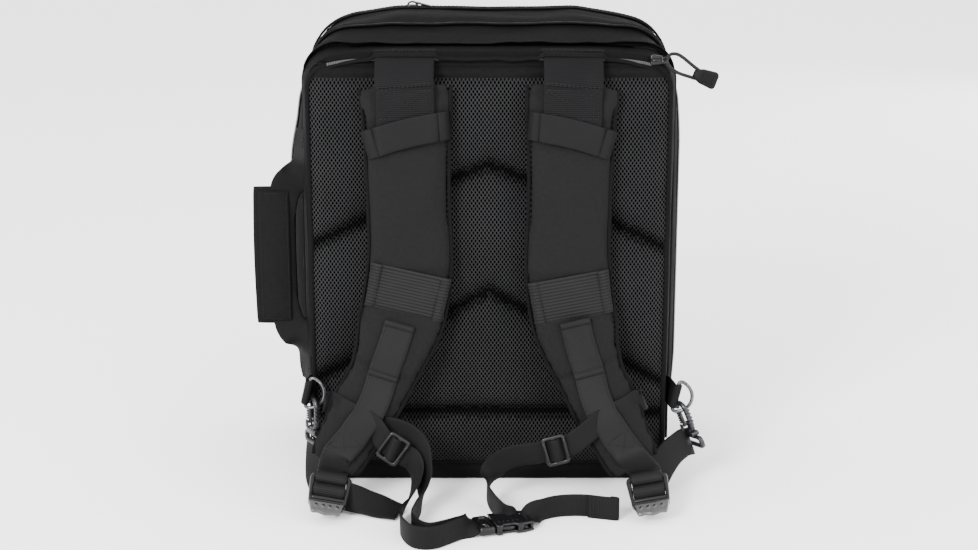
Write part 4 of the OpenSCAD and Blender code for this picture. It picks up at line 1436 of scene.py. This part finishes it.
def make_buckle():
    place = placed(mm(*BUCKLE_AT), (("Z", BUCKLE_TURN),))
    make_buckle_socket(place)
    make_buckle_plug(shifted(place, -12, 0, 0))


def arc_points(radius, start, end, steps, at=(0.0, 0.0)):
    angles = (math.radians(start + (end - start) * k / steps) for k in range(steps + 1))
    return [(at[0] + radius * math.cos(a), at[1] + radius * math.sin(a)) for a in angles]


RINGS = {"left": ((-159, -102, 87), -4), "right": ((165, -91, 80), -8)}
RING_LEAN = 13
HOOKS = {"left": ((-154.5, -103, 74.5), -60, 0), "right": ((171.2, -92, 67), -65, -22)}
TAB_ROWS = {"left": ((4.5, 34), (1.5, 24), (-1.6, 14), (-3.2, 5), (-3.4, 0), (-1.6, -3.2), (1.2, -2.6),
                     (1.9, 0.5), (1.9, 5)),
            "right": ((-9.5, 24), (-6.0, 15), (-3.9, 7), (-3.0, 2), (-2.6, -1.4), (0, -3.1), (2.4, -1.4),
                      (2.6, 2), (1.0, 7))}


def make_d_ring(label):
    """The ring's bent wire and the folded tab that holds its straight bar."""
    at, turn = RINGS[label]
    place = placed(mm(*at), (("Y", RING_LEAN), ("Z", turn)))
    loop = [(0, z) for z in range(-10, 12, 4)] + arc_points(2.4, 180, 90, 4, (2.4, 11.4)) \
        + arc_points(14.2, 80, -80, 26, (0.4, 0)) + arc_points(2.4, -90, -180, 4, (2.4, -11.4))
    path = [place @ mm(x, 0, z) for x, z in loop]
    path = even(curve(path + path[:1], 3), 1.0 * MM)
    wire = tube_mesh(path + path[1:3], 1.6 * MM, 12, place.to_3x3() @ Y)
    closed_piece(f"d_ring_wire_{label}", [wire], "ring", f"d_ring_{label}", "dark_metal",
                 (f"d_ring_{label}",))
    tab = placed(mm(*at), (("Y", RING_LEAN),))
    path = curve([tab @ mm(x, y, 0) for x, y in TAB_ROWS[label]], 5)
    strap(f"d_ring_strap_{label}", path, 22 * MM, 1.8 * MM, tab.to_3x3() @ Z, "strap", "pack", "webbing",
          (f"d_ring_tab_{label}",), gap=0.0015)


HOOK_EYE_DROP = -30.2


def make_snap_hook(label):
    """Cast hook with a waist collar, ribs on its back and an eye for webbing."""
    at, turn, lean = HOOKS[label]
    place = placed(mm(*at), (("Y", lean), ("Z", turn)))
    spine = arc_points(7, 172, 0, 16) + [(7, -5), (6.8, -12), (5.4, -18), (2.2, -21.5)]
    path = curve([place @ mm(x, 0, z) for x, z in spine], 3)
    radii = [(1.5 + 0.8 * min(1, i / 14)) * MM for i in range(len(path))]
    parts = [tube_mesh(path, radii, 14, place.to_3x3() @ Y)]
    parts.append(block_mesh(place, (0, 0, -22.5), (17, 7.6, 4.4), 1.3))
    parts.append(block_mesh(place, (0, 0, -19.6), (10, 6, 3), 1.3))
    for side in (-1, 1):
        parts.append(block_mesh(place, (-7, side * 3.3, -17.6), (4.4, 1.5, 7), 0.6))
    pin = [place @ mm(-7, y, -16) for y in (-4.4, -4.0, 4.0, 4.4)]
    parts.append(tube_mesh(pin, 0.95 * MM, 12, place.to_3x3() @ Z))
    for k in range(6):
        parts.append(block_mesh(place, (8.3 - 1.6 * max(0, k - 3), 0, 0.5 - 3.6 * k), (2.4, 5.2, 1.7), 0.5))
    eye = rounded_box(31 * MM, 11.5 * MM, 3.4 * MM, 6)
    gap = rounded_box(25.8 * MM, 5.2 * MM, 2 * MM, 5, (0, 0.2 * MM))
    flat = shifted(place, 0, 0, HOOK_EYE_DROP) @ Matrix.Rotation(math.pi / 2, 4, "X")
    parts.append(plate_mesh([eye, gap], 4.6 * MM, 1.6 * MM, flat))
    closed_piece(f"snap_hook_body_{label}", parts, "metal", "pack", "dark_metal", (f"snap_hook_{label}",))
    make_snap_gate(place, label)


def make_snap_gate(place, label):
    """The sprung gate with its five thumb ribs."""
    gate = [place @ mm(x, 0, z) for x, z in ((-6.4, -17.5), (-7, -16), (-7.2, -12), (-7.1, -6), (-6.9, -3.2))]
    parts = [tube_mesh(curve(gate, 4), 1.6 * MM, 12, place.to_3x3() @ Y)]
    parts += [block_mesh(place, (-9.0, 0, -13.4 + k * 2.2), (3.0, 4.8, 1.3), 0.5) for k in range(5)]
    name = f"snap_gate_{label}"
    closed_piece(f"snap_gate_bar_{label}", parts, "metal", name, "acetal", (name,))


SLIDER_EDGE = ((-5.5, -3.4), (-3.5, -4.4), (2, -3.9), (5.5, -3.2), (5.5, 3.2), (2, 3.9), (-3.5, 4.4),
               (-5.5, 3.4))
SLIDER_BRIDGE = ((-4, 2.6), (-3, 4.6), (0, 5.4), (3, 4.6), (4, 2.6))


def slider_parts(place, length=11.0):
    """A zipper slider with its bridge, in a frame that faces +Z."""
    edge = [(x * MM * length / 11, y * MM) for x, y in SLIDER_EDGE]
    bridge = curve([place @ mm(x, 0, z) for x, z in SLIDER_BRIDGE], 4)
    return [plate_mesh([edge], 2.6 * MM, 0.8 * MM, shifted(place, 0, 0, 1.6)),
            tube_mesh(bridge, 0.9 * MM, 10, place.to_3x3() @ Y)]


def make_main_slider(name, z, down):
    """A slider on the left side of the main seam, with its webbing pull tab."""
    x = 10.7 * MM - HALF
    place = placed(Vector((x - 1.4 * MM, MAIN_SEAM, z * MM)), (("Y", -90), ("Z", 0 if down > 0 else 180)))
    closed_piece(f"{name}_body", slider_parts(place), "plastic", name, "dark_metal", (name,))
    loop = [Vector((x, MAIN_SEAM, z * MM)) + mm(-6.2 - w, 0, down * q)
            for q, w in ((1, 0), (6, 1.4), (14, 2.2), (19, 2.0))]
    strap(f"{name}_pull_tab", curve(loop, 5), 7 * MM, 1.6 * MM, Y, "strap", name, "webbing", gap=0.0015)


def make_front_slider():
    """The slider of the front pocket, with a metal tongue."""
    place = placed(Vector((-70 * MM, FRONT_SEAM, TOP + 0.4 * MM)))
    hang = shifted(place, 4.6, 0, 4.4) @ Matrix.Rotation(math.radians(14), 4, "Y")
    tongue = rounded_box(15 * MM, 6.4 * MM, 2.4 * MM, 5, (6 * MM, 0))
    eye = rounded_box(3.4 * MM, 3 * MM, 1.2 * MM, 4, (1.2 * MM, 0))
    parts = slider_parts(place) + [plate_mesh([tongue, eye], 1.5 * MM, 0.5 * MM, hang)]
    closed_piece("front_slider_body", parts, "plastic", "front_slider", "dark_metal", ("front_slider",))


def make_rear_pocket_slider():
    """The slider that the cord pull hangs from."""
    place = placed(Vector((141 * MM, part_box("rear_pocket_slider")[1].y + 0.6 * MM, 378.4 * MM)), (("X", 90),))
    ring = [place @ mm(x, y, 5.0) for x, y in arc_points(2.2, 0, 360, 16, (6.4, 0))]
    parts = slider_parts(place, 10) + [tube_mesh(ring + ring[1:2], 0.7 * MM, 8, place.to_3x3() @ Z)]
    closed_piece("rear_pocket_slider_body", parts, "plastic", "rear_pocket_slider", "dark_metal",
                 ("rear_pocket_slider",))


def make_sliders():
    make_main_slider("main_slider_upper", 222, 1)
    make_main_slider("main_slider_lower", 196, -1)
    make_front_slider()
    make_rear_pocket_slider()


# ---------------------------------------------------------------- free straps

def on_pad(pad, rows):
    """Points given as (x, z) in millimetres, laid on the front of a pad."""
    tree = surface_of(pad)
    return laid_on(tree, [mm(x, -130, z) for x, z in rows], 0.9 * MM)


def turned(path, stops):
    """Hints along a path that turn smoothly from one (share, direction) stop to the next."""
    hints = []
    for k in range(len(path)):
        f = k / (len(path) - 1)
        (a, one), (b, two) = next(pair for pair in zip(stops, stops[1:]) if f <= pair[1][0])
        hints.append(one.lerp(two, smooth_step((f - a) / (b - a))))
    return hints


BAR = Vector((-0.31, 0.95, 0))


def free_strap(name, rows, stops, thick, body, hides=()):
    """A strap of the sternum belt, riding on a body if one is given and on none otherwise."""
    path = even(curve(rows, 6), 2 * MM)
    verts, faces, uvs = strap_mesh(path, 20 * MM, thick * MM, turned(path, stops))
    for v in verts:
        v.z = max(v.z, 0.1 * MM)
    piece = new_piece(name, verts, faces, uvs, "strap", body, "webbing", hides)
    if not body:
        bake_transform(piece)


LEFT_FALL = [(-66, -152.6, 43), (-62.3, -156, 36), (-62, -161, 28), (-64.5, -168, 20), (-69.8, -180, 13.4),
             (-73.3, -196, 10.8), (-72.5, -219, 10.6), (-64.5, -239, 10.6), (-53, -246, 10.6),
             (-42, -243, 10.6), (-33, -235, 10.6), (-24, -226, 10.4), (-15, -215.5, 8.8), (-7, -208.8, 6.4)]
LEFT_RETURN = [(-92, -139, 68), (-80, -140, 66), (-68, -142, 61), (-58.5, -147, 50), (-56, -155, 37),
               (-56, -163, 25), (-57, -176, 15), (-62, -194, 11), (-64, -212, 10.8), (-58, -229, 10.8),
               (-49, -237, 10.8), (-38, -232, 10.8), (-28, -225, 10.8), (-18, -214.5, 9), (-8, -206.6, 7)]
RIGHT_FALL = [(38, -151.6, 48.4), (27, -149.5, 46.4), (16, -146.5, 42.4), (7, -144, 35.5), (1.2, -143.4, 27),
              (-1.2, -147.5, 18.5), (-0.2, -158, 12.6), (4, -172, 10.8), (9, -186, 10.4), (14.5, -194, 8.4),
              (24, -197.4, 6.0), (29, -196.4, 5.4)]
TAIL_RUN = [(29, -197.5, 6.4), (36, -193, 9.8), (48, -182, 10.4), (62, -175.5, 10.4), (80, -174.5, 10.4),
            (95, -178.6, 10.4), (103.5, -181, 10.4)]
TAIL_FOLD = [(103, -179.2, 10.4), (107.5, -180.6, 10.4), (109.4, -182.4, 10.4), (106.5, -183.8, 10.4),
             (84, -177.4, 10.4)]


def make_sternum_left(pad):
    """The doubled left strap: from the pad through its glide, down to the plug and back."""
    rows = points([(-139, -131, 89.5), (-141.6, -135, 89)])
    rows += on_pad(pad, [(-136, 87.5), (-126, 84), (-115, 79), (-105, 74.5)])
    rows += points([(-97, -146.0, 69), (-92.5, -150, 63.5)]) + glide_weave("left") + points(LEFT_FALL)
    flat, slant, upright = Vector((0.35, 0, 0.94)), Vector((0.5, 0, 0.86)), Vector((0.2, 0, 1))
    stops = [(0, flat), (0.3, flat), (0.36, upright), (0.5, slant), (0.62, Z), (0.92, Z), (1, BAR)]
    free_strap("sternum_strap_left_front", rows, stops, 1.5, "",
               ("sternum_strap_left_upper", "sternum_strap_left_lower"))
    stops = [(0, upright), (0.3, slant), (0.5, Z), (0.9, Z), (1, BAR)]
    free_strap("sternum_strap_left_return", points(LEFT_RETURN), stops, 1.4, "")


def make_sternum_right(pad):
    """The right strap: from the pad through its glide and down to the socket."""
    rows = points([(131, -128, 91), (133.4, -132, 90.4)])
    rows += on_pad(pad, [(127.5, 89), (118, 85), (108, 80.5), (98, 75.5)])
    rows += points([(90, -147.0, 71), (80, -151.4, 64), (71.5, -152.4, 58)]) + glide_weave("right")[::-1][1:]
    flat = Vector((-0.4, 0, 0.92))
    stops = [(0, flat), (0.3, flat), (0.4, Vector((-0.2, 0, 1))), (0.6, Vector((-0.45, 0, 0.9))), (0.72, Z),
             (0.9, Z), (1, BAR)]
    free_strap("sternum_strap_right_front", rows + points(RIGHT_FALL), stops, 1.5, "pack",
               ("sternum_strap_right",))


def make_sternum_tail():
    """The free tail past the socket, with its folded and stitched end."""
    path = even(curve(points(TAIL_RUN), 8), 2.5 * MM)
    hints = [BAR.lerp(Z, min(1, k / len(path) / 0.25)) for k in range(len(path))]
    strap("sternum_strap_tail", path, 20 * MM, 1.7 * MM, hints, "strap", "pack", "webbing", ("sternum_tail",))
    strap("sternum_tail_hem", curve(points(TAIL_FOLD), 6), 20.4 * MM, 1.8 * MM, Z, "strap", "pack", "webbing",
          gap=0.0015)
    rows = [([mm(x, y, 1.4), mm(x, y, 19.4)], -Y) for x, y in ((86, -179.6), (88.4, -180.2))]
    stitching("sternum_tail_stitches", rows, "pack")


def make_adjusters():
    """The webbing from each ladder lock to its snap hook, and the left one's free tail."""
    left = [(-155, -102, 43), (-154.8, -102.6, 36), (-154, -105, 28), (-150, -116, 17), (-144, -133, 9.5),
            (-139, -149, 8.6), (-137, -160, 12), (-136.5, -170, 14)]
    path = even(curve(points(left), 8), 2.5 * MM)
    hints = [Vector((0.5, -0.866, 0)).lerp(X, min(1, 1.6 * k / len(path))) for k in range(len(path))]
    strap("adjuster_strap_left", path, 25 * MM, 1.8 * MM, hints, "webbing", "pack", "webbing",
          ("adjuster_webbing_left",), ripple=0.4 * MM)
    tail = [(-124, -165, 15.5), (-114, -166, 12.6), (-102, -168, 9.4), (-88, -172, 6.4), (-76, -176, 4.6)]
    path = even(curve(points(tail), 8), 2 * MM)
    stops = [(0, Vector((0, 0.35, 1))), (0.5, Vector((0, 0.8, 0.6))), (1, Vector((0.1, 1, 0.22)))]
    hints = turned(path, stops)
    strap("adjuster_tail_left", path, 24 * MM, 1.8 * MM, hints, "strap", "pack", "webbing")
    right = [(179, -92.5, 38), (174.5, -99.5, 40), (170, -103, 39), (159, -115, 34), (148, -130, 24),
             (139, -147, 14), (136.5, -158, 13), (136.5, -170, 14)]
    path = even(curve(points(right), 8), 2.5 * MM)
    start = Vector((-0.42, 0.2, 0.9))
    hints = [start.lerp(-X, min(1, max(0, 1.5 * k / len(path) - 0.3))) for k in range(len(path))]
    strap("adjuster_strap_right", path, 25 * MM, 1.8 * MM, hints, "webbing", "pack", "webbing",
          ("adjuster_webbing_right",), ripple=0.4 * MM)


# ---------------------------------------------------------------- side handle

HANDLE_X, HANDLE_Y, HANDLE_MID = -188, -58, 200
WRAP_LENGTH, WRAP_HALF_X, WRAP_HALF_Y, WRAP_SIDES, WRAP_STEPS = 124, 18.8, 3.9, 36, 46


def make_handle_strap(label, up, edge):
    """One end of the handle webbing, from its sewn anchor into the wrap, and the anchor's stitches."""
    rows = [(-161.5, -63, 50), (-163.5, -64.5, 40), (-164, -65.5, 26), (-165.5, -66, 16), (-169, -65, 8),
            (-175.5, -62.5, 1), (-179.5, -60.5, -9), (-185, -59.5, -40)]
    path = even(curve([mm(x, y, edge + up * z) for x, y, z in rows], 8), 2.5 * MM)
    side_on, face_on = Vector((0.5, -0.86, 0)), Vector((1, 0, -0.25 * up))
    hints = turned(path, [(0, side_on), (0.25, side_on), (0.5, face_on), (0.72, X), (1, X)])
    widths = [(25 + 3.5 * math.exp(-((k / len(path) - 0.5) / 0.14) ** 2)) * MM for k in range(len(path))]
    hides = ("handle_webbing", "handle_anchors") if up > 0 else ()
    piece = strap(f"handle_strap_{label}", path, 25 * MM, 2.2 * MM, hints, "yoke", "", "webbing", hides,
                  widths=widths, ripple=0.5 * MM)
    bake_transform(piece)
    directions = front_frames(path, hints)
    rows = [([path[k] + directions[k][1] * across * MM + directions[k][2] * 1.4 * MM for k in (1, 4, 7)],
             Vector((-0.86, -0.5, 0))) for across in (-8, 8)]
    stitching(f"handle_anchor_stitches_{label}", rows, "pack")


def wrap_ring(f):
    """One ring of the hook-and-loop wrap, a share of the way up."""
    tuck = min(1, 0.55 + 0.2 * min(f, 1 - f) * WRAP_STEPS)
    bow = 1.2 * math.sin(math.pi * f)
    z = (HANDLE_MID - WRAP_LENGTH / 2 + WRAP_LENGTH * f) * MM
    made = []
    for k in range(WRAP_SIDES):
        x, y = rounded(2 * math.pi * k / WRAP_SIDES, 0.8, 0.6)
        x *= WRAP_HALF_X * MM * (0.96 + 0.04 * tuck)
        y *= WRAP_HALF_Y * MM * tuck
        bump = 0.5 * MM * noise.noise(Vector((x * 60, f * 9, 1.0 if y > 0 else 4.0)))
        made.append(Vector(((HANDLE_X - bow) * MM + x, HANDLE_Y * MM + y + bump, z)))
    return made


def make_handle_wrap():
    """The padded wrap round the handle webbing, its closing flap and the flap's stitches."""
    verts = [v for r in range(WRAP_STEPS + 1) for v in wrap_ring(r / WRAP_STEPS)]
    uvs = [(k / WRAP_SIDES * 82 * MM, verts[r * WRAP_SIDES].z)
           for r in range(WRAP_STEPS + 1) for k in range(WRAP_SIDES)]
    parts = [(verts, tube_faces(WRAP_STEPS + 1, WRAP_SIDES), uvs)]
    wrap = closed_piece("handle_wrap_pad", parts, "wrap", "side_handle", "pack_cloth", ("handle_wrap",))
    rows = ((-14.5, -4.4), (-8, -4.9), (0, -5.1), (8, -4.8), (12.5, -4.2))
    flap = curve([mm(HANDLE_X + x, HANDLE_Y + y, HANDLE_MID) for x, y in rows], 4)
    strap("handle_wrap_flap", flap, 118 * MM, 1.3 * MM, Z, "wrap", "side_handle", "pack_cloth", gap=None,
          ripple=0.4 * MM)

    def at(x, y, z):
        return mm(HANDLE_X + x, HANDLE_Y + y, HANDLE_MID + z)

    rows = [([at(x, y, z) for z in (-57, 57)], -Y) for x, y in ((-12.5, -5.3), (11.0, -5.2))]
    rows += [([at(x, -5.9, z) for x in (-12, 11)], -Y) for z in (-57, 57)]
    stitching("handle_wrap_stitches", rows, "side_handle")


def make_handle():
    make_handle_strap("upper", 1, 264)
    make_handle_strap("lower", -1, 136)
    make_handle_wrap()


# ---------------------------------------------------------------- cord of the rear pocket slider

PULL_POINTS = [(149, -98, 380), (152, -99, 384), (157, -100.5, 384.5), (162, -101.5, 382), (167, -102, 378),
               (172, -102.5, 374), (177, -103, 370.5), (180.5, -103, 368.5), (182, -103, 366),
               (180.5, -103, 363.5), (177, -103, 363.5), (172, -102.5, 364.5), (167, -102, 366),
               (162, -101.5, 367.5), (157, -100.5, 369.5), (152, -99.5, 373), (149, -98.5, 377)]
CORD_RADIUS = 1.5


def make_pull_grip():
    """The moulded grip: a rounded wedge with ribs on both faces."""
    place = placed(mm(174.5, -103, 367.5), (("Y", 20),))
    edge = [(-3.4, -2.8), (-1, -4.2), (3.5, -6.2)] + arc_points(3.2, -84, 0, 5, (14.2, -4.2)) \
        + arc_points(3.2, 0, 84, 5, (14.2, 4.2)) + [(3.5, 6.2), (-1, 4.2), (-3.4, 2.8)]
    flat = place @ Matrix.Rotation(math.pi / 2, 4, "X")
    parts = [plate_mesh([[(x * MM, y * MM) for x, y in edge]], 8.6 * MM, 2.6 * MM, flat)]
    for k in range(5):
        for y in (-4.25, 4.25):
            path = [place @ mm(3.2 + 2.6 * k, y, z) for z in range(-4, 5, 2)]
            parts.append(tube_mesh(path, 0.75 * MM, 8, X))
    return closed_piece("zipper_pull_grip", parts, "rubber", "zipper_pull", "grip_rubber", ("pull_grip",))


def make_pull():
    """The cord loop of the rear pocket's slider, with the grip on its end."""
    grip = make_pull_grip()
    path = even(curve(points(PULL_POINTS), 6), 1.2 * MM)
    parts = [tube_mesh(path, CORD_RADIUS * MM, 12, Y)]
    cord = closed_piece("zipper_pull_cord", parts, "cord", "zipper_pull", "webbing", ("pull_cord",))


# ---------------------------------------------------------------- front, base and inside

GRID_HALF, GRID_PITCH, GRID_HEIGHTS, FRONT_Y = 120, 38, (82.5, 132.5, 182.5, 232.5), 96.0


def tack(x, y, z, half, out):
    """An upright bar tack."""
    return [mm(x, y, z - half), mm(x, y, z + half)], out


def make_webbing_grid():
    """Webbing rows on the front pocket, sewn down with bar tacks."""
    rows, tacks = [], []
    for z in GRID_HEIGHTS:
        path = [mm(x, FRONT_Y + 0.2 + 1.6 * (1 - (abs((x + GRID_HALF) % GRID_PITCH - 19) / 19) ** 4), z)
                for x in range(-GRID_HALF, GRID_HALF + 1, 2)]
        rows.append(strap_mesh(path, 25 * MM, 1.5 * MM, Z))
        for k in range(7):
            x = GRID_PITCH * k - GRID_HALF + {0: 1.5, 6: -1.5}.get(k, 0)
            tacks += [tack(x + shift, 97.4, z, 11, Y) for shift in (-0.55, 0.0, 0.55)]
    solid_piece("molle_rows", rows, "webbing", "front_flap", "webbing", ("molle_webbing",))
    stitching("molle_bartacks", tacks, "front_flap")


def make_loop_field():
    """The loop panel on the front pocket, sewn down round its edge."""
    low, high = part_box("loop_field")
    size, centre = high - low, (low + high) / 2
    face = placed(Vector((centre.x, FRONT_Y * MM, centre.z)), (("X", 90),))
    border = rounded_box(size.x, size.z, 5 * MM, 6)
    solid_piece("loop_pile_field", [plate_mesh([border], 2.2 * MM, 0.8 * MM, face)], "pile", "front_flap",
                "air_mesh", ("loop_field",))
    edge = rounded_box(size.x - 5 * MM, size.z - 5 * MM, 3 * MM, 6)
    path = [face @ Vector((x, z, -1.2 * MM)) for x, z in edge + edge[:1]]
    stitching("loop_field_stitches", [(path, Y)], "front_flap")


EYELET_PROFILE = [(3.5, 0.4), (3.5, 5.4), (4.0, 5.9), (8.0, 5.9), (8.5, 5.4), (8.4, 5.0), (6.0, 4.9),
                  (6.0, 0.6), (5.6, 0.2), (3.9, 0.2)]


def make_hinge_fabric(name, node, y_from, y_to, seam):
    """A cloth strip inside the base, dipped where two shells meet."""
    path = even([mm(0, y_from, 5.6), mm(0, y_to, 5.6)], 1.0 * MM)
    path = [Vector((0, p.y, p.z - 1.6 * MM * math.exp(-((p.y - seam) / (7 * MM)) ** 2))) for p in path]
    piece = strap(name, path, 268 * MM, 1.2 * MM, X, "lining", "", "pack_cloth", (node,), gap=None)
    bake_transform(piece)


def make_drain():
    """The metal eyelet in the base, turned from its profile."""
    low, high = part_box("drain_grommet")
    centre, turns, count = (low + high) / 2, 40, len(EYELET_PROFILE)
    verts, uvs, faces = [], [], []
    for k in range(turns):
        a = 2 * math.pi * k / turns
        for r, z in EYELET_PROFILE:
            verts.append(Vector((centre.x + r * MM * math.cos(a), centre.y + r * MM * math.sin(a), z * MM)))
            uvs.append((a * r * MM, z * MM))
        near, far = k * count, (k + 1) % turns * count
        faces += [(near + j, near + (j + 1) % count, far + (j + 1) % count, far + j) for j in range(count)]
    closed_piece("drain_eyelet", [(verts, faces, uvs)], "metal", "pack", "dark_metal", ("drain_grommet",))


def make_base():
    make_hinge_fabric("base_hinge_fabric", "main_hinge_strip", -36, 14, MAIN_SEAM)
    make_hinge_fabric("pocket_hinge_fabric", "front_hinge_strip", 34, 74,
                      FRONT_SEAM)
    make_drain()


def finish_node(node, material, bevel):
    """Keep a CAD node, with soft edges and a better material."""
    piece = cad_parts[node]
    for slot_index in range(max(1, len(piece.material_slots))):
        if piece.material_slots:
            piece.material_slots[slot_index].link = "OBJECT"
            piece.material_slots[slot_index].material = MATERIALS[material]
    if not piece.material_slots:
        piece.data.materials.append(MATERIALS[material])
    edge = piece.modifiers.new("bevel", "BEVEL")
    edge.width = bevel
    edge.segments = 2
    edge.limit_method = "ANGLE"


LOOP_HEIGHTS, LOOP_HALF, LOOP_PITCH = (125, 215, 305), 120, 40
WINDOW_COLUMNS, WINDOW_ROWS = 19, 15


def make_elastic_loops():
    """Rows of elastic on the rear wall, sewn down between the loops."""
    loops, tacks = [], []
    for z in LOOP_HEIGHTS:
        path = [mm(x, -78.2 + 5.5 * abs(math.sin(math.pi * (x + LOOP_HALF) / LOOP_PITCH)) ** 0.8, z)
                for x in range(-LOOP_HALF, LOOP_HALF + 1, 2)]
        loops.append(strap_mesh(path, 30 * MM, 1.4 * MM, Z))
        tacks += [tack(LOOP_PITCH * k - LOOP_HALF, -77.2, z, 14, Y) for k in range(7)]
    solid_piece("elastic_loop_rows", loops, "elastic", "pack", "elastic", ("elastic_loops",))
    stitching("elastic_loop_stitches", tacks, "pack")


def make_organizer():
    low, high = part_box("organizer_panel")
    size = high - low
    panel = rounded_box(size.x, size.z, 20 * MM, 8)
    flat = placed((low + high) / 2, (("X", 90),))
    solid_piece("organizer_sheet", [plate_mesh([panel], size.y, 1.2 * MM, flat)], "lining", "main_cover",
                "pack_cloth", ("organizer_panel",))


def window_film(centre):
    """A clear film that bows out between its sewn edges."""
    verts, uvs = [], []
    for r in range(WINDOW_ROWS):
        for c in range(WINDOW_COLUMNS):
            u, v = c / (WINDOW_COLUMNS - 1), r / (WINDOW_ROWS - 1)
            inner = 0 < u < 1 and 0 < v < 1
            bow = 3.2 * math.sin(math.pi * u) ** 0.6 * math.sin(math.pi * v) ** 0.6 if inner else 0
            verts.append(centre + mm((u - 0.5) * 131, 1.8 - bow, (v - 0.5) * 96))
            uvs.append((u * 131 * MM, v * 96 * MM))
    return verts, grid_faces(WINDOW_ROWS, WINDOW_COLUMNS), uvs


def make_windows():
    """Six clear pouches on the organizer, each with a bound and stitched border."""
    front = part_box("window_pouches")[0].y / MM
    films, borders, rows = [], [], []
    for z in (30, 146, 262):
        for x in (-140, 5):
            centre = mm(x + 67.5, front + 0.4, z + 50)
            films.append(window_film(centre))
            place = placed(centre + mm(0, 1.6, 0), (("X", 90),))
            outer = rounded_box(135 * MM, 100 * MM, 4 * MM, 4)
            inner = rounded_box(121 * MM, 84 * MM, 4 * MM, 4)
            borders.append(plate_mesh([outer, inner], 1.6 * MM, 0.5 * MM, place))
            edge = rounded_box(130 * MM, 94 * MM, 4 * MM, 4)
            rows.append(([place @ Vector((a, b, 0.9 * MM)) for a, b in edge + edge[:1]], -Y))
    solid_piece("window_films", films, "vinyl", "main_cover", "clear_vinyl", ("window_pouches",))
    solid_piece("window_frames", borders, "piping", "main_cover", "pack_cloth")
    stitching("window_stitches", rows, "main_cover")


def make_inside():
    finish_node("frame_sheet", "board", 0.6 * MM)
    finish_node("base_board", "board", 0.6 * MM)
    make_elastic_loops()
    make_organizer()
    make_windows()


# ---------------------------------------------------------------- everything

def make_harness(side, label, wide_z):
    """Everything on one shoulder; gives back the pad, which the sternum strap lies on."""
    line = PadLine(side)
    pad = make_pad(line, side, label, wide_z)
    make_keepers(line, side, label, wide_z)
    make_yoke(side, label)
    make_load_webbing(line, side, label)
    make_ladder_lock(side, label)
    make_tri_glide(label)
    make_d_ring(label)
    make_snap_hook(label)
    return pad


make_camera()
MATERIALS = make_materials()
make_pull()
make_studio()
make_shells()
make_seams()
make_back_panel()
make_rear_pocket_zipper()
make_rear_pocket_flap()
LEFT_PAD = make_harness(-1, "left", 180)
RIGHT_PAD = make_harness(1, "right", 176)
make_buckle()
make_sliders()
make_sternum_left(LEFT_PAD)
make_sternum_right(RIGHT_PAD)
make_sternum_tail()
make_adjusters()
make_handle()
make_webbing_grid()
make_loop_field()
make_base()
make_inside()

bpy.context.view_layer.update()
